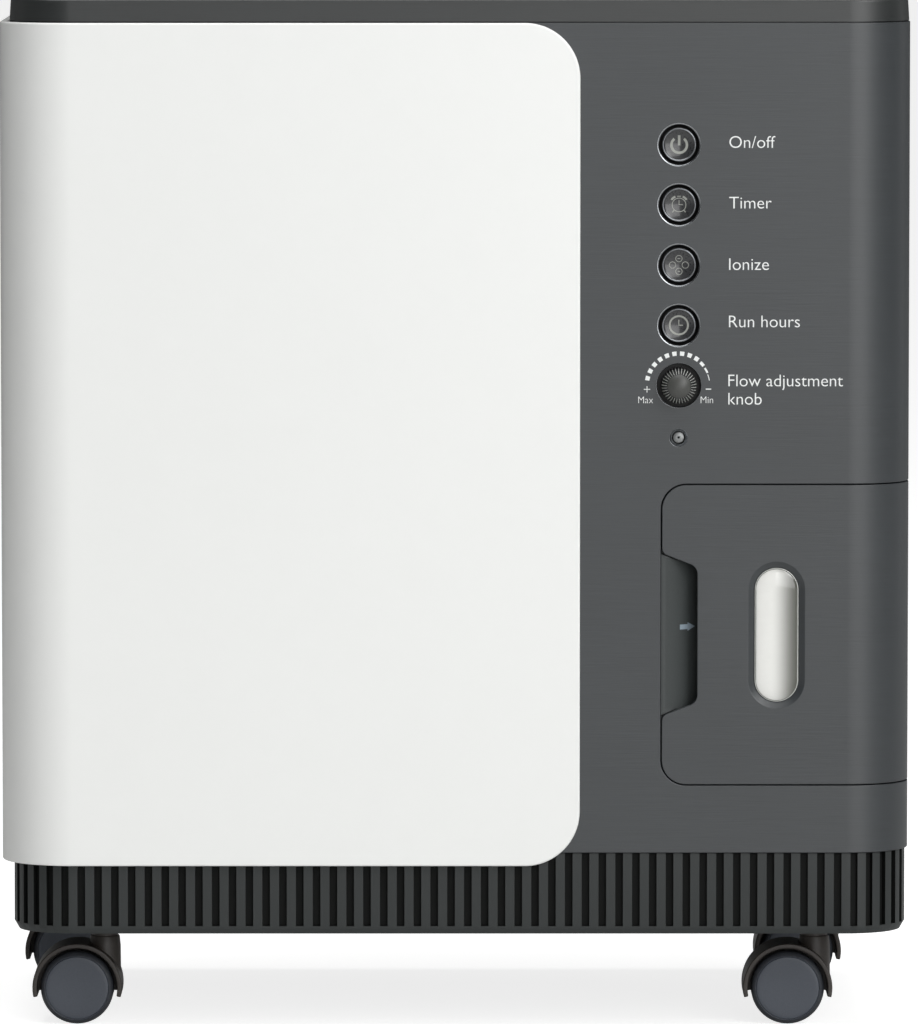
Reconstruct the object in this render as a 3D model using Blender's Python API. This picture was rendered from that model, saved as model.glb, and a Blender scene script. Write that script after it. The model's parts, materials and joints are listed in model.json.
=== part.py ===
"""Household oxygen concentrator on four twin-wheel casters, as separate solids.

Metres, +Z up. The front faces -Y, and the origin is on the floor under the middle of the object.
Shapes are drawn as outlines and extruded level by level. A shape turned FRONTWARD is drawn as it
looks from the front: its X is to the right, its Y is up and its levels grow towards the viewer.
"""

import math

import bmesh
import bpy
from mathutils import Matrix

# Driving dimensions
GAP = 0.0003
SEAM = 0.0005
WALL = 0.0028

BODY_LEFT = -0.196
BODY_RIGHT = 0.200
BODY_FRONT = -0.111
BODY_REAR = 0.117
BODY_BOTTOM = 0.0801
BODY_TOP = 0.4446
BODY_CORNER = 0.028
SHELL_JOINT = 0.045

PANEL_THICK = 0.0037
PANEL_RIGHT = 0.0548
PANEL_BACK = 0.038
PANEL_BOTTOM = 0.0746
PANEL_CORNER = 0.0242

COVER_INSET = 0.0004
COVER_BOTTOM = 0.4451
COVER_TOP = 0.4547

BASE_INSET = 0.0012
BASE_BOTTOM = 0.044
BASE_TOP = 0.0798
BASE_FLOOR = 0.047
BASE_LIP_TOP = 0.084

CONTROL_X = 0.098
BUTTON_HEIGHTS = {"power": 0.3914, "timer": 0.3651, "ion": 0.3387, "hours": 0.3123}
BUTTON_RADIUS = 0.00725
BUTTON_HOLE = 0.0077
BUTTON_CHAMFER = 0.00935
BUTTON_FLANGE = 0.0084
BUTTON_STEM = 0.0025
KNOB_HEIGHT = 0.286
KNOB_RADIUS = 0.00775
KNOB_PROUD = 0.009
WELL_RADIUS = 0.0098
SPINDLE_RADIUS = 0.002
OUTLET_HEIGHT = 0.263
OUTLET_WELL = 0.00395
GUIDE_FRONT = -0.0062
GUIDE_BACK = -0.0084

DOOR_LEFT = 0.09075
DOOR_BOTTOM = 0.11035
DOOR_TOP = 0.24225
DOOR_CORNER = 0.0107
HINGE = (0.1955, -0.052)
KNUCKLE_RADIUS = 0.0045
PIN_RADIUS = 0.0008
NOTCH_MIDDLE = 0.1764
NOTCH_RIGHT = 0.1063
WINDOW_X = 0.1411
WINDOW_HEIGHT = 0.1762

BOTTLE = (0.141, -0.076)
BAY_FLOOR = DOOR_BOTTOM - SEAM
BAY_CEILING = DOOR_TOP + SEAM
BAY_BACK = -0.0464
LINER = 0.0022

WHEEL_RADIUS = 0.0162
WHEEL_INNER = 0.002
WHEEL_OUTER = 0.01275
HOOD_RADIUS = 0.0198
HOOD_SKIN = 0.0022
HOOD_HALF = 0.0132
WEB_HALF = 0.0017
TRAIL = 0.012
STEM_RADIUS = 0.005
STEM_TOP = 0.058
SWIVELS = {
    "front_left": (-0.1555, -0.068),
    "front_right": (0.1595, -0.068),
    "rear_left": (-0.1645, 0.062),
    "rear_right": (0.1685, 0.062),
}

FILTER_MIDDLE = (-0.060, 0.350)
INLET_MIDDLE = (0.130, 0.120)
MOTOR_AXIS = (0.010, 0.118)
FAN_AXIS = (-0.060, 0.010)
SHELF_TOP = 0.229
TOWERS = {"front": -0.010, "rear": 0.058}
TOWER_X = 0.125
TANK = (0.1735, 0.024)

ROUND = 24
SMALL_ROUND = 16
CORNER_STEPS = 7
UPRIGHT = (0, 0, 0)
FRONTWARD = (math.pi / 2, 0, 0)
REARWARD = (math.pi / 2, 0, math.pi)
SIDEWARD = (0, math.pi / 2, 0)
FRONT_FACE = (0, BODY_FRONT, 0)


# Outlines: lists of (x, y)


def arc(center, radius, start, end, steps=CORNER_STEPS):
    """Points on an arc, its angles in degrees."""
    turns = [math.radians(start + (end - start) * step / steps) for step in range(steps + 1)]
    return [(center[0] + radius * math.cos(turn), center[1] + radius * math.sin(turn)) for turn in turns]


def circle(radius, steps=ROUND, center=(0, 0)):
    return arc(center, radius, 0, 360, steps)[:-1]


def rectangle(left, bottom, right, top):
    return [(left, bottom), (right, bottom), (right, top), (left, top)]


def rounded(left, bottom, right, top, radius, steps=CORNER_STEPS):
    """Rectangle with round corners."""
    return (
        arc((left + radius, bottom + radius), radius, 180, 270, steps)
        + arc((right - radius, bottom + radius), radius, 270, 360, steps)
        + arc((right - radius, top - radius), radius, 0, 90, steps)
        + arc((left + radius, top - radius), radius, 90, 180, steps)
    )


def pill(width, height):
    """Upright slot with half-round ends, about its middle."""
    radius = width / 2
    rise = height / 2 - radius
    return arc((0, rise), radius, 0, 180, 8) + arc((0, -rise), radius, 180, 360, 8)


def body_plan(inset):
    """The body seen from above, drawn in by the inset all round."""
    return rounded(
        BODY_LEFT + inset,
        BODY_FRONT + inset,
        BODY_RIGHT - inset,
        BODY_REAR - inset,
        BODY_CORNER - inset,
    )


def front_wall(inset):
    """The front shell's wall seen from above, from its left edge round the front to its right edge."""
    radius = BODY_CORNER - inset
    near = BODY_FRONT + BODY_CORNER
    return (
        [(BODY_LEFT + inset, SHELL_JOINT)]
        + arc((BODY_LEFT + BODY_CORNER, near), radius, 180, 270)
        + arc((BODY_RIGHT - BODY_CORNER, near), radius, 270, 360)
        + [(BODY_RIGHT - inset, SHELL_JOINT)]
    )


def rear_wall(inset):
    """The rear shell's wall seen from above, from its right edge round the back to its left edge."""
    radius = BODY_CORNER - inset
    far = BODY_REAR - BODY_CORNER
    return (
        [(BODY_RIGHT - inset, SHELL_JOINT + GAP)]
        + arc((BODY_RIGHT - BODY_CORNER, far), radius, 0, 90)
        + arc((BODY_LEFT + BODY_CORNER, far), radius, 90, 180)
        + [(BODY_LEFT + inset, SHELL_JOINT + GAP)]
    )


def panel_wall(proud):
    """One face of the front panel seen from above, standing proud of the body."""
    corner = (BODY_LEFT + BODY_CORNER, BODY_FRONT + BODY_CORNER)
    return (
        [(BODY_LEFT - proud, PANEL_BACK)]
        + arc(corner, BODY_CORNER + proud, 180, 270)
        + [(PANEL_RIGHT, BODY_FRONT - proud)]
    )


def door_plan():
    """The door seen from above: front wall, round corner, short side wall and hinge knuckle."""
    corner = (BODY_RIGHT - BODY_CORNER, BODY_FRONT + BODY_CORNER)
    inner_reach = BODY_RIGHT - WALL - HINGE[0]
    knuckle_end = 360 - math.degrees(math.acos(inner_reach / KNUCKLE_RADIUS))
    return (
        [(DOOR_LEFT - SEAM, BODY_FRONT)]
        + arc(corner, BODY_CORNER, 270, 360)
        + arc(HINGE, KNUCKLE_RADIUS, 0, knuckle_end, 14)
        + arc(corner, BODY_CORNER - WALL, 360, 270)
        + [(DOOR_LEFT - SEAM, BODY_FRONT + WALL)]
    )


def door_face(grow):
    """The door seen from the front, running on past the body's right side."""
    return rounded(
        DOOR_LEFT - grow,
        DOOR_BOTTOM - grow,
        BODY_RIGHT + 3 * DOOR_CORNER,
        DOOR_TOP + grow,
        DOOR_CORNER + grow,
    )


def notch(inset):
    """The finger notch in the door's left edge, seen from the front."""
    right = NOTCH_RIGHT - inset
    upper = [(right, 0.0262), (right - 0.0009, 0.0289), (right - 0.0031, 0.0310), (0.084, 0.0384)]
    lower = [(x, -rise) for x, rise in reversed(upper)]
    return [(x, NOTCH_MIDDLE + rise - math.copysign(inset, rise)) for x, rise in upper + lower]


# Bodies


def stack(*layers):
    """Closed body through layers of (outline, level), extruded from the first layer's face."""
    shape = bmesh.new()
    outline, level = layers[0]
    first = shape.faces.new([shape.verts.new((x, y, level)) for x, y in outline])
    last = first
    for outline, level in layers[1:]:
        made = bmesh.ops.extrude_face_region(shape, geom=[last])["geom"]
        if last is not first:
            bmesh.ops.delete(shape, geom=[last], context="FACES_ONLY")
        last = next(item for item in made if isinstance(item, bmesh.types.BMFace))
        for vert, (x, y) in zip(last.verts, outline):
            vert.co = (x, y, level)
    bmesh.ops.recalc_face_normals(shape, faces=shape.faces)
    return shape


def rounds(*layers, steps=ROUND):
    """Closed round body through layers of (radius, level)."""
    return stack(*[(circle(radius, steps), level) for radius, level in layers])


def prism(outline, bottom, top):
    return stack((outline, bottom), (outline, top))


def box(low, high):
    return prism(rectangle(low[0], low[1], high[0], high[1]), low[2], high[2])


def turned_ring(profile, steps=ROUND):
    """A closed (radius, level) profile spun into a ring with an open middle."""
    shape = bmesh.new()
    verts = [shape.verts.new((radius, 0, level)) for radius, level in profile]
    face = shape.faces.new(verts)
    bmesh.ops.spin(
        shape,
        geom=list(face.edges),
        cent=(0, 0, 0),
        axis=(0, 0, 1),
        angle=2 * math.pi,
        steps=steps,
        use_merge=True,
    )
    bmesh.ops.delete(shape, geom=[face], context="FACES_ONLY")
    bmesh.ops.recalc_face_normals(shape, faces=shape.faces)
    return shape


def several(shapes):
    """Separate closed bodies in one shape."""
    joined = bmesh.new()
    for shape in shapes:
        mesh = bpy.data.meshes.new("part_of_shape")
        shape.to_mesh(mesh)
        shape.free()
        joined.from_mesh(mesh)
        bpy.data.meshes.remove(mesh)
    return joined


def moved(shape, x=0.0, y=0.0, z=0.0):
    bmesh.ops.translate(shape, verts=shape.verts, vec=(x, y, z))
    return shape


# Objects


def paint(name, color, roughness, metallic=0.0, alpha=1.0):
    material = bpy.data.materials.new(name)
    material.use_nodes = True
    shader = material.node_tree.nodes["Principled BSDF"]
    shader.inputs["Base Color"].default_value = (*color, 1.0)
    shader.inputs["Roughness"].default_value = roughness
    shader.inputs["Metallic"].default_value = metallic
    shader.inputs["Alpha"].default_value = alpha
    return material


def add(name, shape, material, at=(0, 0, 0), turned=UPRIGHT):
    """Object of a shape drawn about its own origin."""
    mesh = bpy.data.meshes.new(name)
    shape.to_mesh(mesh)
    shape.free()
    mesh.shade_smooth()
    mesh.set_sharp_from_angle(angle=math.radians(35))
    if material:
        mesh.materials.append(material)
    piece = bpy.data.objects.new(name, mesh)
    piece.location = at
    piece.rotation_euler = turned
    bpy.context.collection.objects.link(piece)
    return piece


def combine(target, operation, name, shape, at=(0, 0, 0), turned=UPRIGHT):
    """Boolean of the target with a hidden helper."""
    helper = add(f"{target.name}.{name}", shape, None, at, turned)
    helper.hide_render = True
    helper.display_type = "WIRE"
    modifier = target.modifiers.new(name, "BOOLEAN")
    modifier.operation = operation
    modifier.object = helper
    return helper


def cut(target, name, shape, at=(0, 0, 0), turned=UPRIGHT):
    return combine(target, "DIFFERENCE", name, shape, at, turned)


def join(target, name, shape, at=(0, 0, 0), turned=UPRIGHT):
    return combine(target, "UNION", name, shape, at, turned)


def keep_inside(target, name, shape, at=(0, 0, 0), turned=UPRIGHT):
    return combine(target, "INTERSECT", name, shape, at, turned)


# Casing


def make_front_shell(plastic):
    shell = add("front_shell", prism(front_wall(0) + front_wall(WALL)[::-1], BODY_BOTTOM, BODY_TOP), plastic)
    button_well = ((BUTTON_HOLE, -0.006), (BUTTON_HOLE, -0.0016), (BUTTON_CHAMFER, 0.0), (BUTTON_CHAMFER, 0.002))
    wells = [moved(rounds(*button_well), CONTROL_X, height) for height in BUTTON_HEIGHTS.values()]
    wells.append(moved(rounds((WELL_RADIUS, -0.006), (WELL_RADIUS, 0.002)), CONTROL_X, KNOB_HEIGHT))
    wells.append(moved(rounds((OUTLET_WELL, -0.006), (OUTLET_WELL, 0.002)), CONTROL_X, OUTLET_HEIGHT))
    cut(shell, "control_wells", several(wells), FRONT_FACE, FRONTWARD)
    hinge_edge = -(HINGE[1] + KNUCKLE_RADIUS + SEAM)
    cut(shell, "door_opening", prism(door_face(SEAM), hinge_edge, 0.13), turned=FRONTWARD)


def make_rear_shell(plastic):
    shell = add("rear_shell", prism(rear_wall(0) + rear_wall(WALL)[::-1], BODY_BOTTOM, BODY_TOP), plastic)
    filter_x, filter_z = FILTER_MIDDLE
    inlet_x, inlet_z = INLET_MIDDLE
    inner = BODY_REAR - 2 * WALL
    outer = BODY_REAR + WALL
    holes = [
        box((filter_x - 0.054, inner, filter_z - 0.039), (filter_x + 0.054, outer, filter_z + 0.039)),
        box((inlet_x - 0.0138, inner, inlet_z - 0.0103), (inlet_x + 0.0138, outer, inlet_z + 0.0103)),
    ]
    for row in range(9):
        low = 0.096 + row * 0.0105
        holes.append(box((-0.125, inner, low), (-0.005, outer, low + 0.005)))
    cut(shell, "rear_openings", several(holes))


def make_front_panel(gloss):
    plan = panel_wall(GAP + PANEL_THICK) + panel_wall(GAP)[::-1]
    panel = add("front_panel", prism(plan, PANEL_BOTTOM - 0.002, BODY_TOP + 0.002), gloss)
    face = rounded(-0.26, PANEL_BOTTOM, PANEL_RIGHT, BODY_TOP, PANEL_CORNER)
    keep_inside(panel, "face_outline", prism(face, 0.0, 0.2), (0, 0.05, 0), FRONTWARD)
    side = [(-z, y) for y, z in rounded(-0.20, PANEL_BOTTOM, PANEL_BACK, BODY_TOP, PANEL_CORNER)]
    keep_inside(panel, "side_outline", prism(side[::-1], -0.21, 0.07), turned=SIDEWARD)


def make_top_cover(plastic):
    lip_outer = body_plan(WALL + GAP)
    lip_inner = body_plan(WALL + GAP + 0.002)
    outer = body_plan(COVER_INSET)
    shape = stack(
        (lip_inner, COVER_TOP - 0.003),
        (lip_inner, COVER_BOTTOM - 0.007),
        (lip_outer, COVER_BOTTOM - 0.007),
        (lip_outer, COVER_BOTTOM),
        (outer, COVER_BOTTOM),
        (body_plan(COVER_INSET + 0.0004), COVER_TOP - 0.001),
        (body_plan(COVER_INSET + 0.0013), COVER_TOP),
    )
    add("top_cover", shape, plastic)


def make_base_tray(plastic):
    outer = body_plan(BASE_INSET)
    lip_outer = body_plan(WALL + GAP)
    inner = body_plan(WALL + GAP + 0.002)
    shape = stack(
        (inner, BASE_FLOOR),
        (inner, BASE_LIP_TOP),
        (lip_outer, BASE_LIP_TOP),
        (lip_outer, BASE_TOP),
        (outer, BASE_TOP),
        (outer, BASE_BOTTOM + 0.0035),
        (body_plan(BASE_INSET + 0.002), BASE_BOTTOM),
    )
    tray = add("base_tray", shape, plastic)
    bosses = [moved(rounds((0.009, 0.045), (0.009, 0.062), steps=SMALL_ROUND), *spot) for spot in SWIVELS.values()]
    join(tray, "caster_bosses", several(bosses))
    hole = STEM_RADIUS + GAP
    holes = [moved(rounds((hole, 0.04), (hole, 0.065), steps=SMALL_ROUND), *spot) for spot in SWIVELS.values()]
    holes += [box((-0.105 + step * 0.018, 0.060, 0.04), (-0.099 + step * 0.018, 0.098, 0.05)) for step in range(8)]
    cut(tray, "stem_holes_and_vents", several(holes))


# Controls


def make_buttons(plastic):
    shape_levels = (
        (BUTTON_STEM, -0.0097),
        (BUTTON_STEM, -0.0043),
        (BUTTON_FLANGE, -0.0043),
        (BUTTON_FLANGE, -0.0033),
        (BUTTON_RADIUS, -0.0033),
        (BUTTON_RADIUS, -0.0009),
        (BUTTON_RADIUS - 0.0007, -0.0004),
        (BUTTON_RADIUS - 0.0016, -0.0009),
    )
    for name, height in BUTTON_HEIGHTS.items():
        cap = rounds(*shape_levels, steps=20)
        add(f"{name}_button", cap, plastic, (CONTROL_X, BODY_FRONT, height), FRONTWARD)


def make_control_frame(plastic):
    """Plate behind the front shell that guides the buttons and holds the knob's well."""
    plate = prism(rectangle(0.0845, 0.2485, 0.1115, 0.4025), GUIDE_BACK, GUIDE_FRONT)
    frame = add("control_frame", plate, plastic, FRONT_FACE, FRONTWARD)
    well_wall = moved(rounds((0.0123, -0.0075), (0.0123, -0.0031)), CONTROL_X, KNOB_HEIGHT)
    join(frame, "knob_well", well_wall, FRONT_FACE, FRONTWARD)
    guide = BUTTON_STEM + GAP
    holes = [
        moved(rounds((guide, -0.012), (guide, 0.0), steps=SMALL_ROUND), CONTROL_X, height)
        for height in BUTTON_HEIGHTS.values()
    ]
    holes.append(moved(rounds((0.0026, -0.012), (0.0026, 0.0), steps=SMALL_ROUND), CONTROL_X, OUTLET_HEIGHT))
    well = rounds((0.0024, -0.012), (0.0024, GUIDE_FRONT), (WELL_RADIUS, GUIDE_FRONT), (WELL_RADIUS, 0.0))
    holes.append(moved(well, CONTROL_X, KNOB_HEIGHT))
    cut(frame, "guides", several(holes), FRONT_FACE, FRONTWARD)


def make_button_board(board_green):
    outline = rectangle(0.0845, 0.300, 0.1115, 0.4025)
    board = add("button_board", prism(outline, -0.0140, -0.0124), board_green, FRONT_FACE, FRONTWARD)
    half = 0.003
    switches = [
        box((CONTROL_X - half, height - half, -0.0132), (CONTROL_X + half, height + half, -0.0115))
        for height in BUTTON_HEIGHTS.values()
    ]
    join(board, "switches", several(switches), FRONT_FACE, FRONTWARD)


def make_flow_control(knob_plastic, brass):
    at = (CONTROL_X, BODY_FRONT, KNOB_HEIGHT)
    knob = rounds(
        (SPINDLE_RADIUS + GAP, 0.002),
        (SPINDLE_RADIUS + GAP, -0.0055),
        (KNOB_RADIUS, -0.0055),
        (KNOB_RADIUS, KNOB_PROUD - 0.0016),
        (KNOB_RADIUS - 0.0009, KNOB_PROUD - 0.0005),
        (KNOB_RADIUS - 0.0026, KNOB_PROUD),
    )
    add("flow_knob", knob, knob_plastic, at, FRONTWARD)
    spindle = rounds((SPINDLE_RADIUS, -0.022), (SPINDLE_RADIUS, 0.0014), steps=SMALL_ROUND)
    add("valve_spindle", spindle, brass, at, FRONTWARD)
    valve = rounds(
        (SPINDLE_RADIUS + GAP, -0.024),
        (SPINDLE_RADIUS + GAP, -0.009),
        (0.0115, -0.009),
        (0.0115, -0.030),
        (0.0035, -0.030),
        (0.0035, -0.038),
        steps=SMALL_ROUND,
    )
    add("flow_valve", valve, brass, at, FRONTWARD)


def make_outlet(metal):
    profile = [
        (0.0012, -0.019),
        (0.0012, -0.0005),
        (0.0024, -0.0005),
        (0.0024, -0.0044),
        (0.0031, -0.0044),
        (0.0031, -0.0003),
        (OUTLET_WELL - GAP, -0.0003),
        (OUTLET_WELL - GAP, -0.0031),
        (0.0060, -0.0031),
        (0.0060, GUIDE_FRONT + GAP),
        (0.0022, GUIDE_FRONT + GAP),
        (0.0022, -0.019),
    ]
    nozzle = turned_ring(profile, SMALL_ROUND)
    add("outlet_nozzle", nozzle, metal, (CONTROL_X, BODY_FRONT, OUTLET_HEIGHT), FRONTWARD)


# Humidifier compartment


def make_bay(plastic):
    """Liner open at the front and right, with the finger scoop in its left side."""
    left = DOOR_LEFT - SEAM - LINER
    right = BODY_RIGHT - WALL - GAP
    front = BODY_FRONT + WALL + GAP
    back = BAY_BACK + LINER
    corner = (BODY_RIGHT - BODY_CORNER, BODY_FRONT + BODY_CORNER)
    plan = (
        [(left, back), (left, front)]
        + arc(corner, BODY_CORNER - WALL - GAP, 270, 360)
        + [(right, back)]
    )
    bay = add("humidifier_bay", prism(plan, BAY_FLOOR - LINER, BAY_CEILING + LINER), plastic)
    cut(bay, "hollow", box((left + LINER, -0.2, BAY_FLOOR), (0.25, BAY_BACK, BAY_CEILING)))
    scoop_back = -0.097
    scoop_half = 0.038
    low = NOTCH_MIDDLE - scoop_half
    high = NOTCH_MIDDLE + scoop_half
    join(bay, "scoop", box((left + 0.001, front + GAP, low), (0.120, scoop_back, high)))
    lip = join(bay, "scoop_lip", box((DOOR_LEFT, -0.1109, low), (0.0975, -0.104, high)))
    keep_inside(lip, "notch_shape", prism(notch(0.0004), 0.0, 0.13), turned=FRONTWARD)
    pocket = [(0.0902, -0.1112), (0.0902, -0.116), (0.118, -0.116), (0.118, -0.0995), (0.112, -0.0995)]
    cut(bay, "finger_pocket", prism(pocket, low + 0.002, high - 0.002))
    pin_hole = rounds((PIN_RADIUS + GAP, BAY_FLOOR - 0.005), (PIN_RADIUS + GAP, BAY_CEILING + 0.005), steps=12)
    cut(bay, "pin_hole", pin_hole, (*HINGE, 0))


def make_door(plastic, clear):
    plan = [(x - HINGE[0], y - HINGE[1]) for x, y in door_plan()]
    door = add("humidifier_door", prism(plan, DOOR_BOTTOM - 0.002, DOOR_TOP + 0.002), plastic, (*HINGE, 0))
    keep_inside(door, "face_outline", prism(door_face(0), 0.02, 0.13), turned=FRONTWARD)
    cut(door, "notch", prism(notch(0), 0.09, 0.13), turned=FRONTWARD)
    at = (WINDOW_X, BODY_FRONT, WINDOW_HEIGHT)
    opening = pill(0.0198, 0.0596)
    recess = pill(0.0253, 0.0649)
    cut(door, "window", stack((opening, -0.006), (opening, -0.0017), (recess, 0.0), (recess, 0.002)), at, FRONTWARD)
    bore = rounds((PIN_RADIUS + GAP, 0.1), (PIN_RADIUS + GAP, 0.25), steps=12)
    cut(door, "pin_bore", bore, (*HINGE, 0))
    flange = pill(0.0235, 0.0635)
    pane = pill(0.0192, 0.0590)
    window = stack((flange, -0.0043), (flange, -0.0031), (pane, -0.0031), (pane, -0.0018), (pill(0.0176, 0.0574), -0.0013))
    add("door_window", window, clear, at, FRONTWARD)
    pin = rounds((PIN_RADIUS, BAY_FLOOR - 0.002), (PIN_RADIUS, BAY_CEILING + 0.002), steps=12)
    add("door_hinge_pin", pin, paint("pin_steel", (0.6, 0.6, 0.6), 0.3, 1.0), (*HINGE, 0))


def make_humidifier(clear, plastic):
    floor = BAY_FLOOR + GAP
    bottle = rounds(
        (0.0225, floor + 0.0030),
        (0.0230, 0.2035),
        (0.0170, 0.2110),
        (0.0170, 0.2240),
        (0.0190, 0.2240),
        (0.0190, 0.2120),
        (0.0250, 0.2050),
        (0.0250, floor + 0.0015),
        (0.0235, floor),
    )
    add("humidifier_bottle", bottle, clear, (*BOTTLE, 0))
    profile = [
        (0.0012, 0.120),
        (0.0012, 0.236),
        (0.0026, 0.236),
        (0.0026, 0.228),
        (0.0215, 0.228),
        (0.0215, 0.2145),
        (0.0193, 0.2145),
        (0.0193, 0.2243),
        (0.0022, 0.2243),
        (0.0022, 0.120),
    ]
    add("humidifier_cap", turned_ring(profile), plastic, (*BOTTLE, 0))


# Rear fittings


def make_filter(plastic, foam):
    x, z = FILTER_MIDDLE
    at = (x, BODY_REAR, z)
    rim = 0.0537
    inner = 0.0515
    shape = stack(
        (rectangle(-inner, -inner + 0.015, inner, inner - 0.015), GAP),
        (rectangle(-inner, -inner + 0.015, inner, inner - 0.015), -0.008),
        (rectangle(-rim, -rim + 0.015, rim, rim - 0.015), -0.008),
        (rectangle(-rim, -rim + 0.015, rim, rim - 0.015), GAP),
        (rectangle(-0.0630, -0.0480, 0.0630, 0.0480), GAP),
        (rectangle(-0.0630, -0.0480, 0.0630, 0.0480), 0.0020),
        (rectangle(-0.0615, -0.0465, 0.0615, 0.0465), 0.0030),
    )
    cover = add("filter_cover", shape, plastic, at, REARWARD)
    slots = [box((-0.045, row * 0.0085 - 0.002, -0.004), (0.045, row * 0.0085 + 0.002, 0.006)) for row in range(-3, 4)]
    cut(cover, "louvres", several(slots), at, REARWARD)
    pad = prism(rectangle(-0.0510, -0.0360, 0.0510, 0.0360), -0.0078, 0.0)
    add("intake_filter", pad, foam, at, REARWARD)


def make_mains_inlet(plastic):
    x, z = INLET_MIDDLE
    at = (x, BODY_REAR, z)
    socket = rounded(-0.0122, -0.0086, 0.0122, 0.0086, 0.003, 3)
    shroud = rounded(-0.0135, -0.0100, 0.0135, 0.0100, 0.003, 3)
    flange = rounded(-0.0165, -0.0130, 0.0165, 0.0130, 0.002, 3)
    shape = stack(
        (socket, -0.013),
        (socket, 0.003),
        (flange, 0.003),
        (flange, GAP),
        (shroud, GAP),
        (shroud, -0.022),
    )
    inlet = add("mains_inlet", shape, plastic, at, REARWARD)
    blades = [(-0.007, -0.002), (0.007, -0.002), (0.0, 0.002)]
    pins = [box((px - 0.001, pz - 0.002, -0.014), (px + 0.001, pz + 0.002, -0.0018)) for px, pz in blades]
    join(inlet, "pins", several(pins), at, REARWARD)


# Casters


def caster_hood_mesh(name, plastic):
    """Hood with its centre web and swivel stem, drawn about the swivel axis."""
    wheel_center = (-TRAIL, 0, WHEEL_RADIUS)
    profile = arc((0, 0), HOOD_RADIUS, -12, 192, 18)
    hood = add(name, prism(profile, -HOOD_HALF, HOOD_HALF), plastic, wheel_center, FRONTWARD)
    stem = rounds((0.0058, 0.020), (0.0058, 0.0437), (STEM_RADIUS, 0.0437), (STEM_RADIUS, STEM_TOP), steps=SMALL_ROUND)
    helpers = [join(hood, "stem", stem)]
    space = HOOD_RADIUS - HOOD_SKIN
    for side, levels in {"near": (WEB_HALF, 0.02), "far": (-0.02, -WEB_HALF)}.items():
        room = prism(circle(space), *levels)
        helpers.append(cut(hood, f"{side}_wheel_room", room, wheel_center, FRONTWARD))
    bore = rounds((0.0023, -0.01), (0.0023, 0.01), steps=12)
    helpers.append(cut(hood, "axle_bore", bore, wheel_center, FRONTWARD))
    bpy.context.view_layer.update()
    mesh = bpy.data.meshes.new_from_object(hood.evaluated_get(bpy.context.evaluated_depsgraph_get()))
    mesh.transform(hood.matrix_world)
    for helper in [hood, *helpers]:
        bpy.data.objects.remove(helper)
    return mesh


def make_casters(plastic, rubber, steel):
    hood_mesh = caster_hood_mesh("caster_hood", plastic)
    bore_end = WHEEL_OUTER - 0.0017
    for corner, (x, y) in SWIVELS.items():
        hood = bpy.data.objects.new(f"caster_hood_{corner}", hood_mesh)
        hood.location = (x, y, 0)
        bpy.context.collection.objects.link(hood)
        center = (x - TRAIL, y, WHEEL_RADIUS)
        half = bore_end - GAP
        add(f"caster_axle_{corner}", rounds((0.002, -half), (0.002, half), steps=12), steel, center, FRONTWARD)
        for side, turned in {"near": FRONTWARD, "far": REARWARD}.items():
            wheel = rounds(
                (0.0023, bore_end),
                (0.0023, WHEEL_INNER),
                (WHEEL_RADIUS - 0.0014, WHEEL_INNER),
                (WHEEL_RADIUS, WHEEL_INNER + 0.0016),
                (WHEEL_RADIUS, WHEEL_OUTER - 0.0026),
                (WHEEL_RADIUS - 0.0018, WHEEL_OUTER - 0.0004),
                (0.0128, WHEEL_OUTER),
            )
            add(f"caster_wheel_{corner}_{side}", wheel, rubber, center, turned)


# Inside the casing


def make_frame(steel):
    bulkhead = add("bulkhead", box((0.074, -0.100, BASE_FLOOR + GAP), (0.0765, 0.105, 0.430)), steel)
    cut(bulkhead, "tube_pass", rounds((0.010, 0.06), (0.010, 0.09), steps=SMALL_ROUND), (0, 0.010, 0.280), SIDEWARD)
    plate = box((-0.185, -0.100, SHELF_TOP - 0.0025), (0.0737, 0.105, SHELF_TOP))
    shelf = add("fan_shelf", plate, steel)
    cut(shelf, "fan_hole", rounds((0.0575, 0.2), (0.0575, 0.25)), (*FAN_AXIS, 0))


def make_compressor(aluminium, dark_metal, steel, rubber):
    y, z = MOTOR_AXIS
    bore = 0.0053
    motor = rounds((0.040, -0.1050), (0.045, -0.1000), (0.045, -0.0200), (0.040, -0.0150))
    housing = add("compressor_motor", motor, dark_metal, (0, y, z), SIDEWARD)
    heads = {"left": (-0.150, -0.1053), "right": (-0.0147, 0.030)}
    pieces = [housing]
    for side, (low, high) in heads.items():
        block = box((low, y - 0.034, 0.070), (high, y + 0.034, 0.190))
        head = add(f"compressor_head_{side}", block, aluminium)
        fins = [box((low - 0.01, y - 0.05, fin), (high + 0.01, y - 0.028, fin + 0.004)) for fin in (0.158, 0.168, 0.178)]
        cut(head, "fins", several(fins))
        pieces.append(head)
    for piece in pieces:
        cut(piece, "shaft_bore", rounds((bore, -0.17), (bore, 0.05), steps=SMALL_ROUND), (0, y, z), SIDEWARD)
    shaft = rounds((0.005, -0.158), (0.005, 0.038), steps=SMALL_ROUND)
    add("compressor_shaft", shaft, steel, (0, y, z), SIDEWARD)
    for number, spot in enumerate([(-0.127, -0.014), (-0.127, 0.034), (0.007, -0.014), (0.007, 0.034)], 1):
        foot = rounds((0.009, BASE_FLOOR + GAP), (0.0065, 0.058), (0.009, 0.070 - GAP), steps=SMALL_ROUND)
        add(f"compressor_mount_{number}", foot, rubber, (*spot, 0))


def fan_blade(number, count, level):
    """One pitched blade, set round the hub."""
    blade = box((0.016, -0.012, -0.0008), (0.055, 0.012, 0.0008))
    pitch = Matrix.Rotation(math.radians(35), 3, "X")
    place = Matrix.Rotation(2 * math.pi * number / count, 3, "Z")
    bmesh.ops.rotate(blade, verts=blade.verts, cent=(0, 0, 0), matrix=place @ pitch)
    return moved(blade, z=level)


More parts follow.
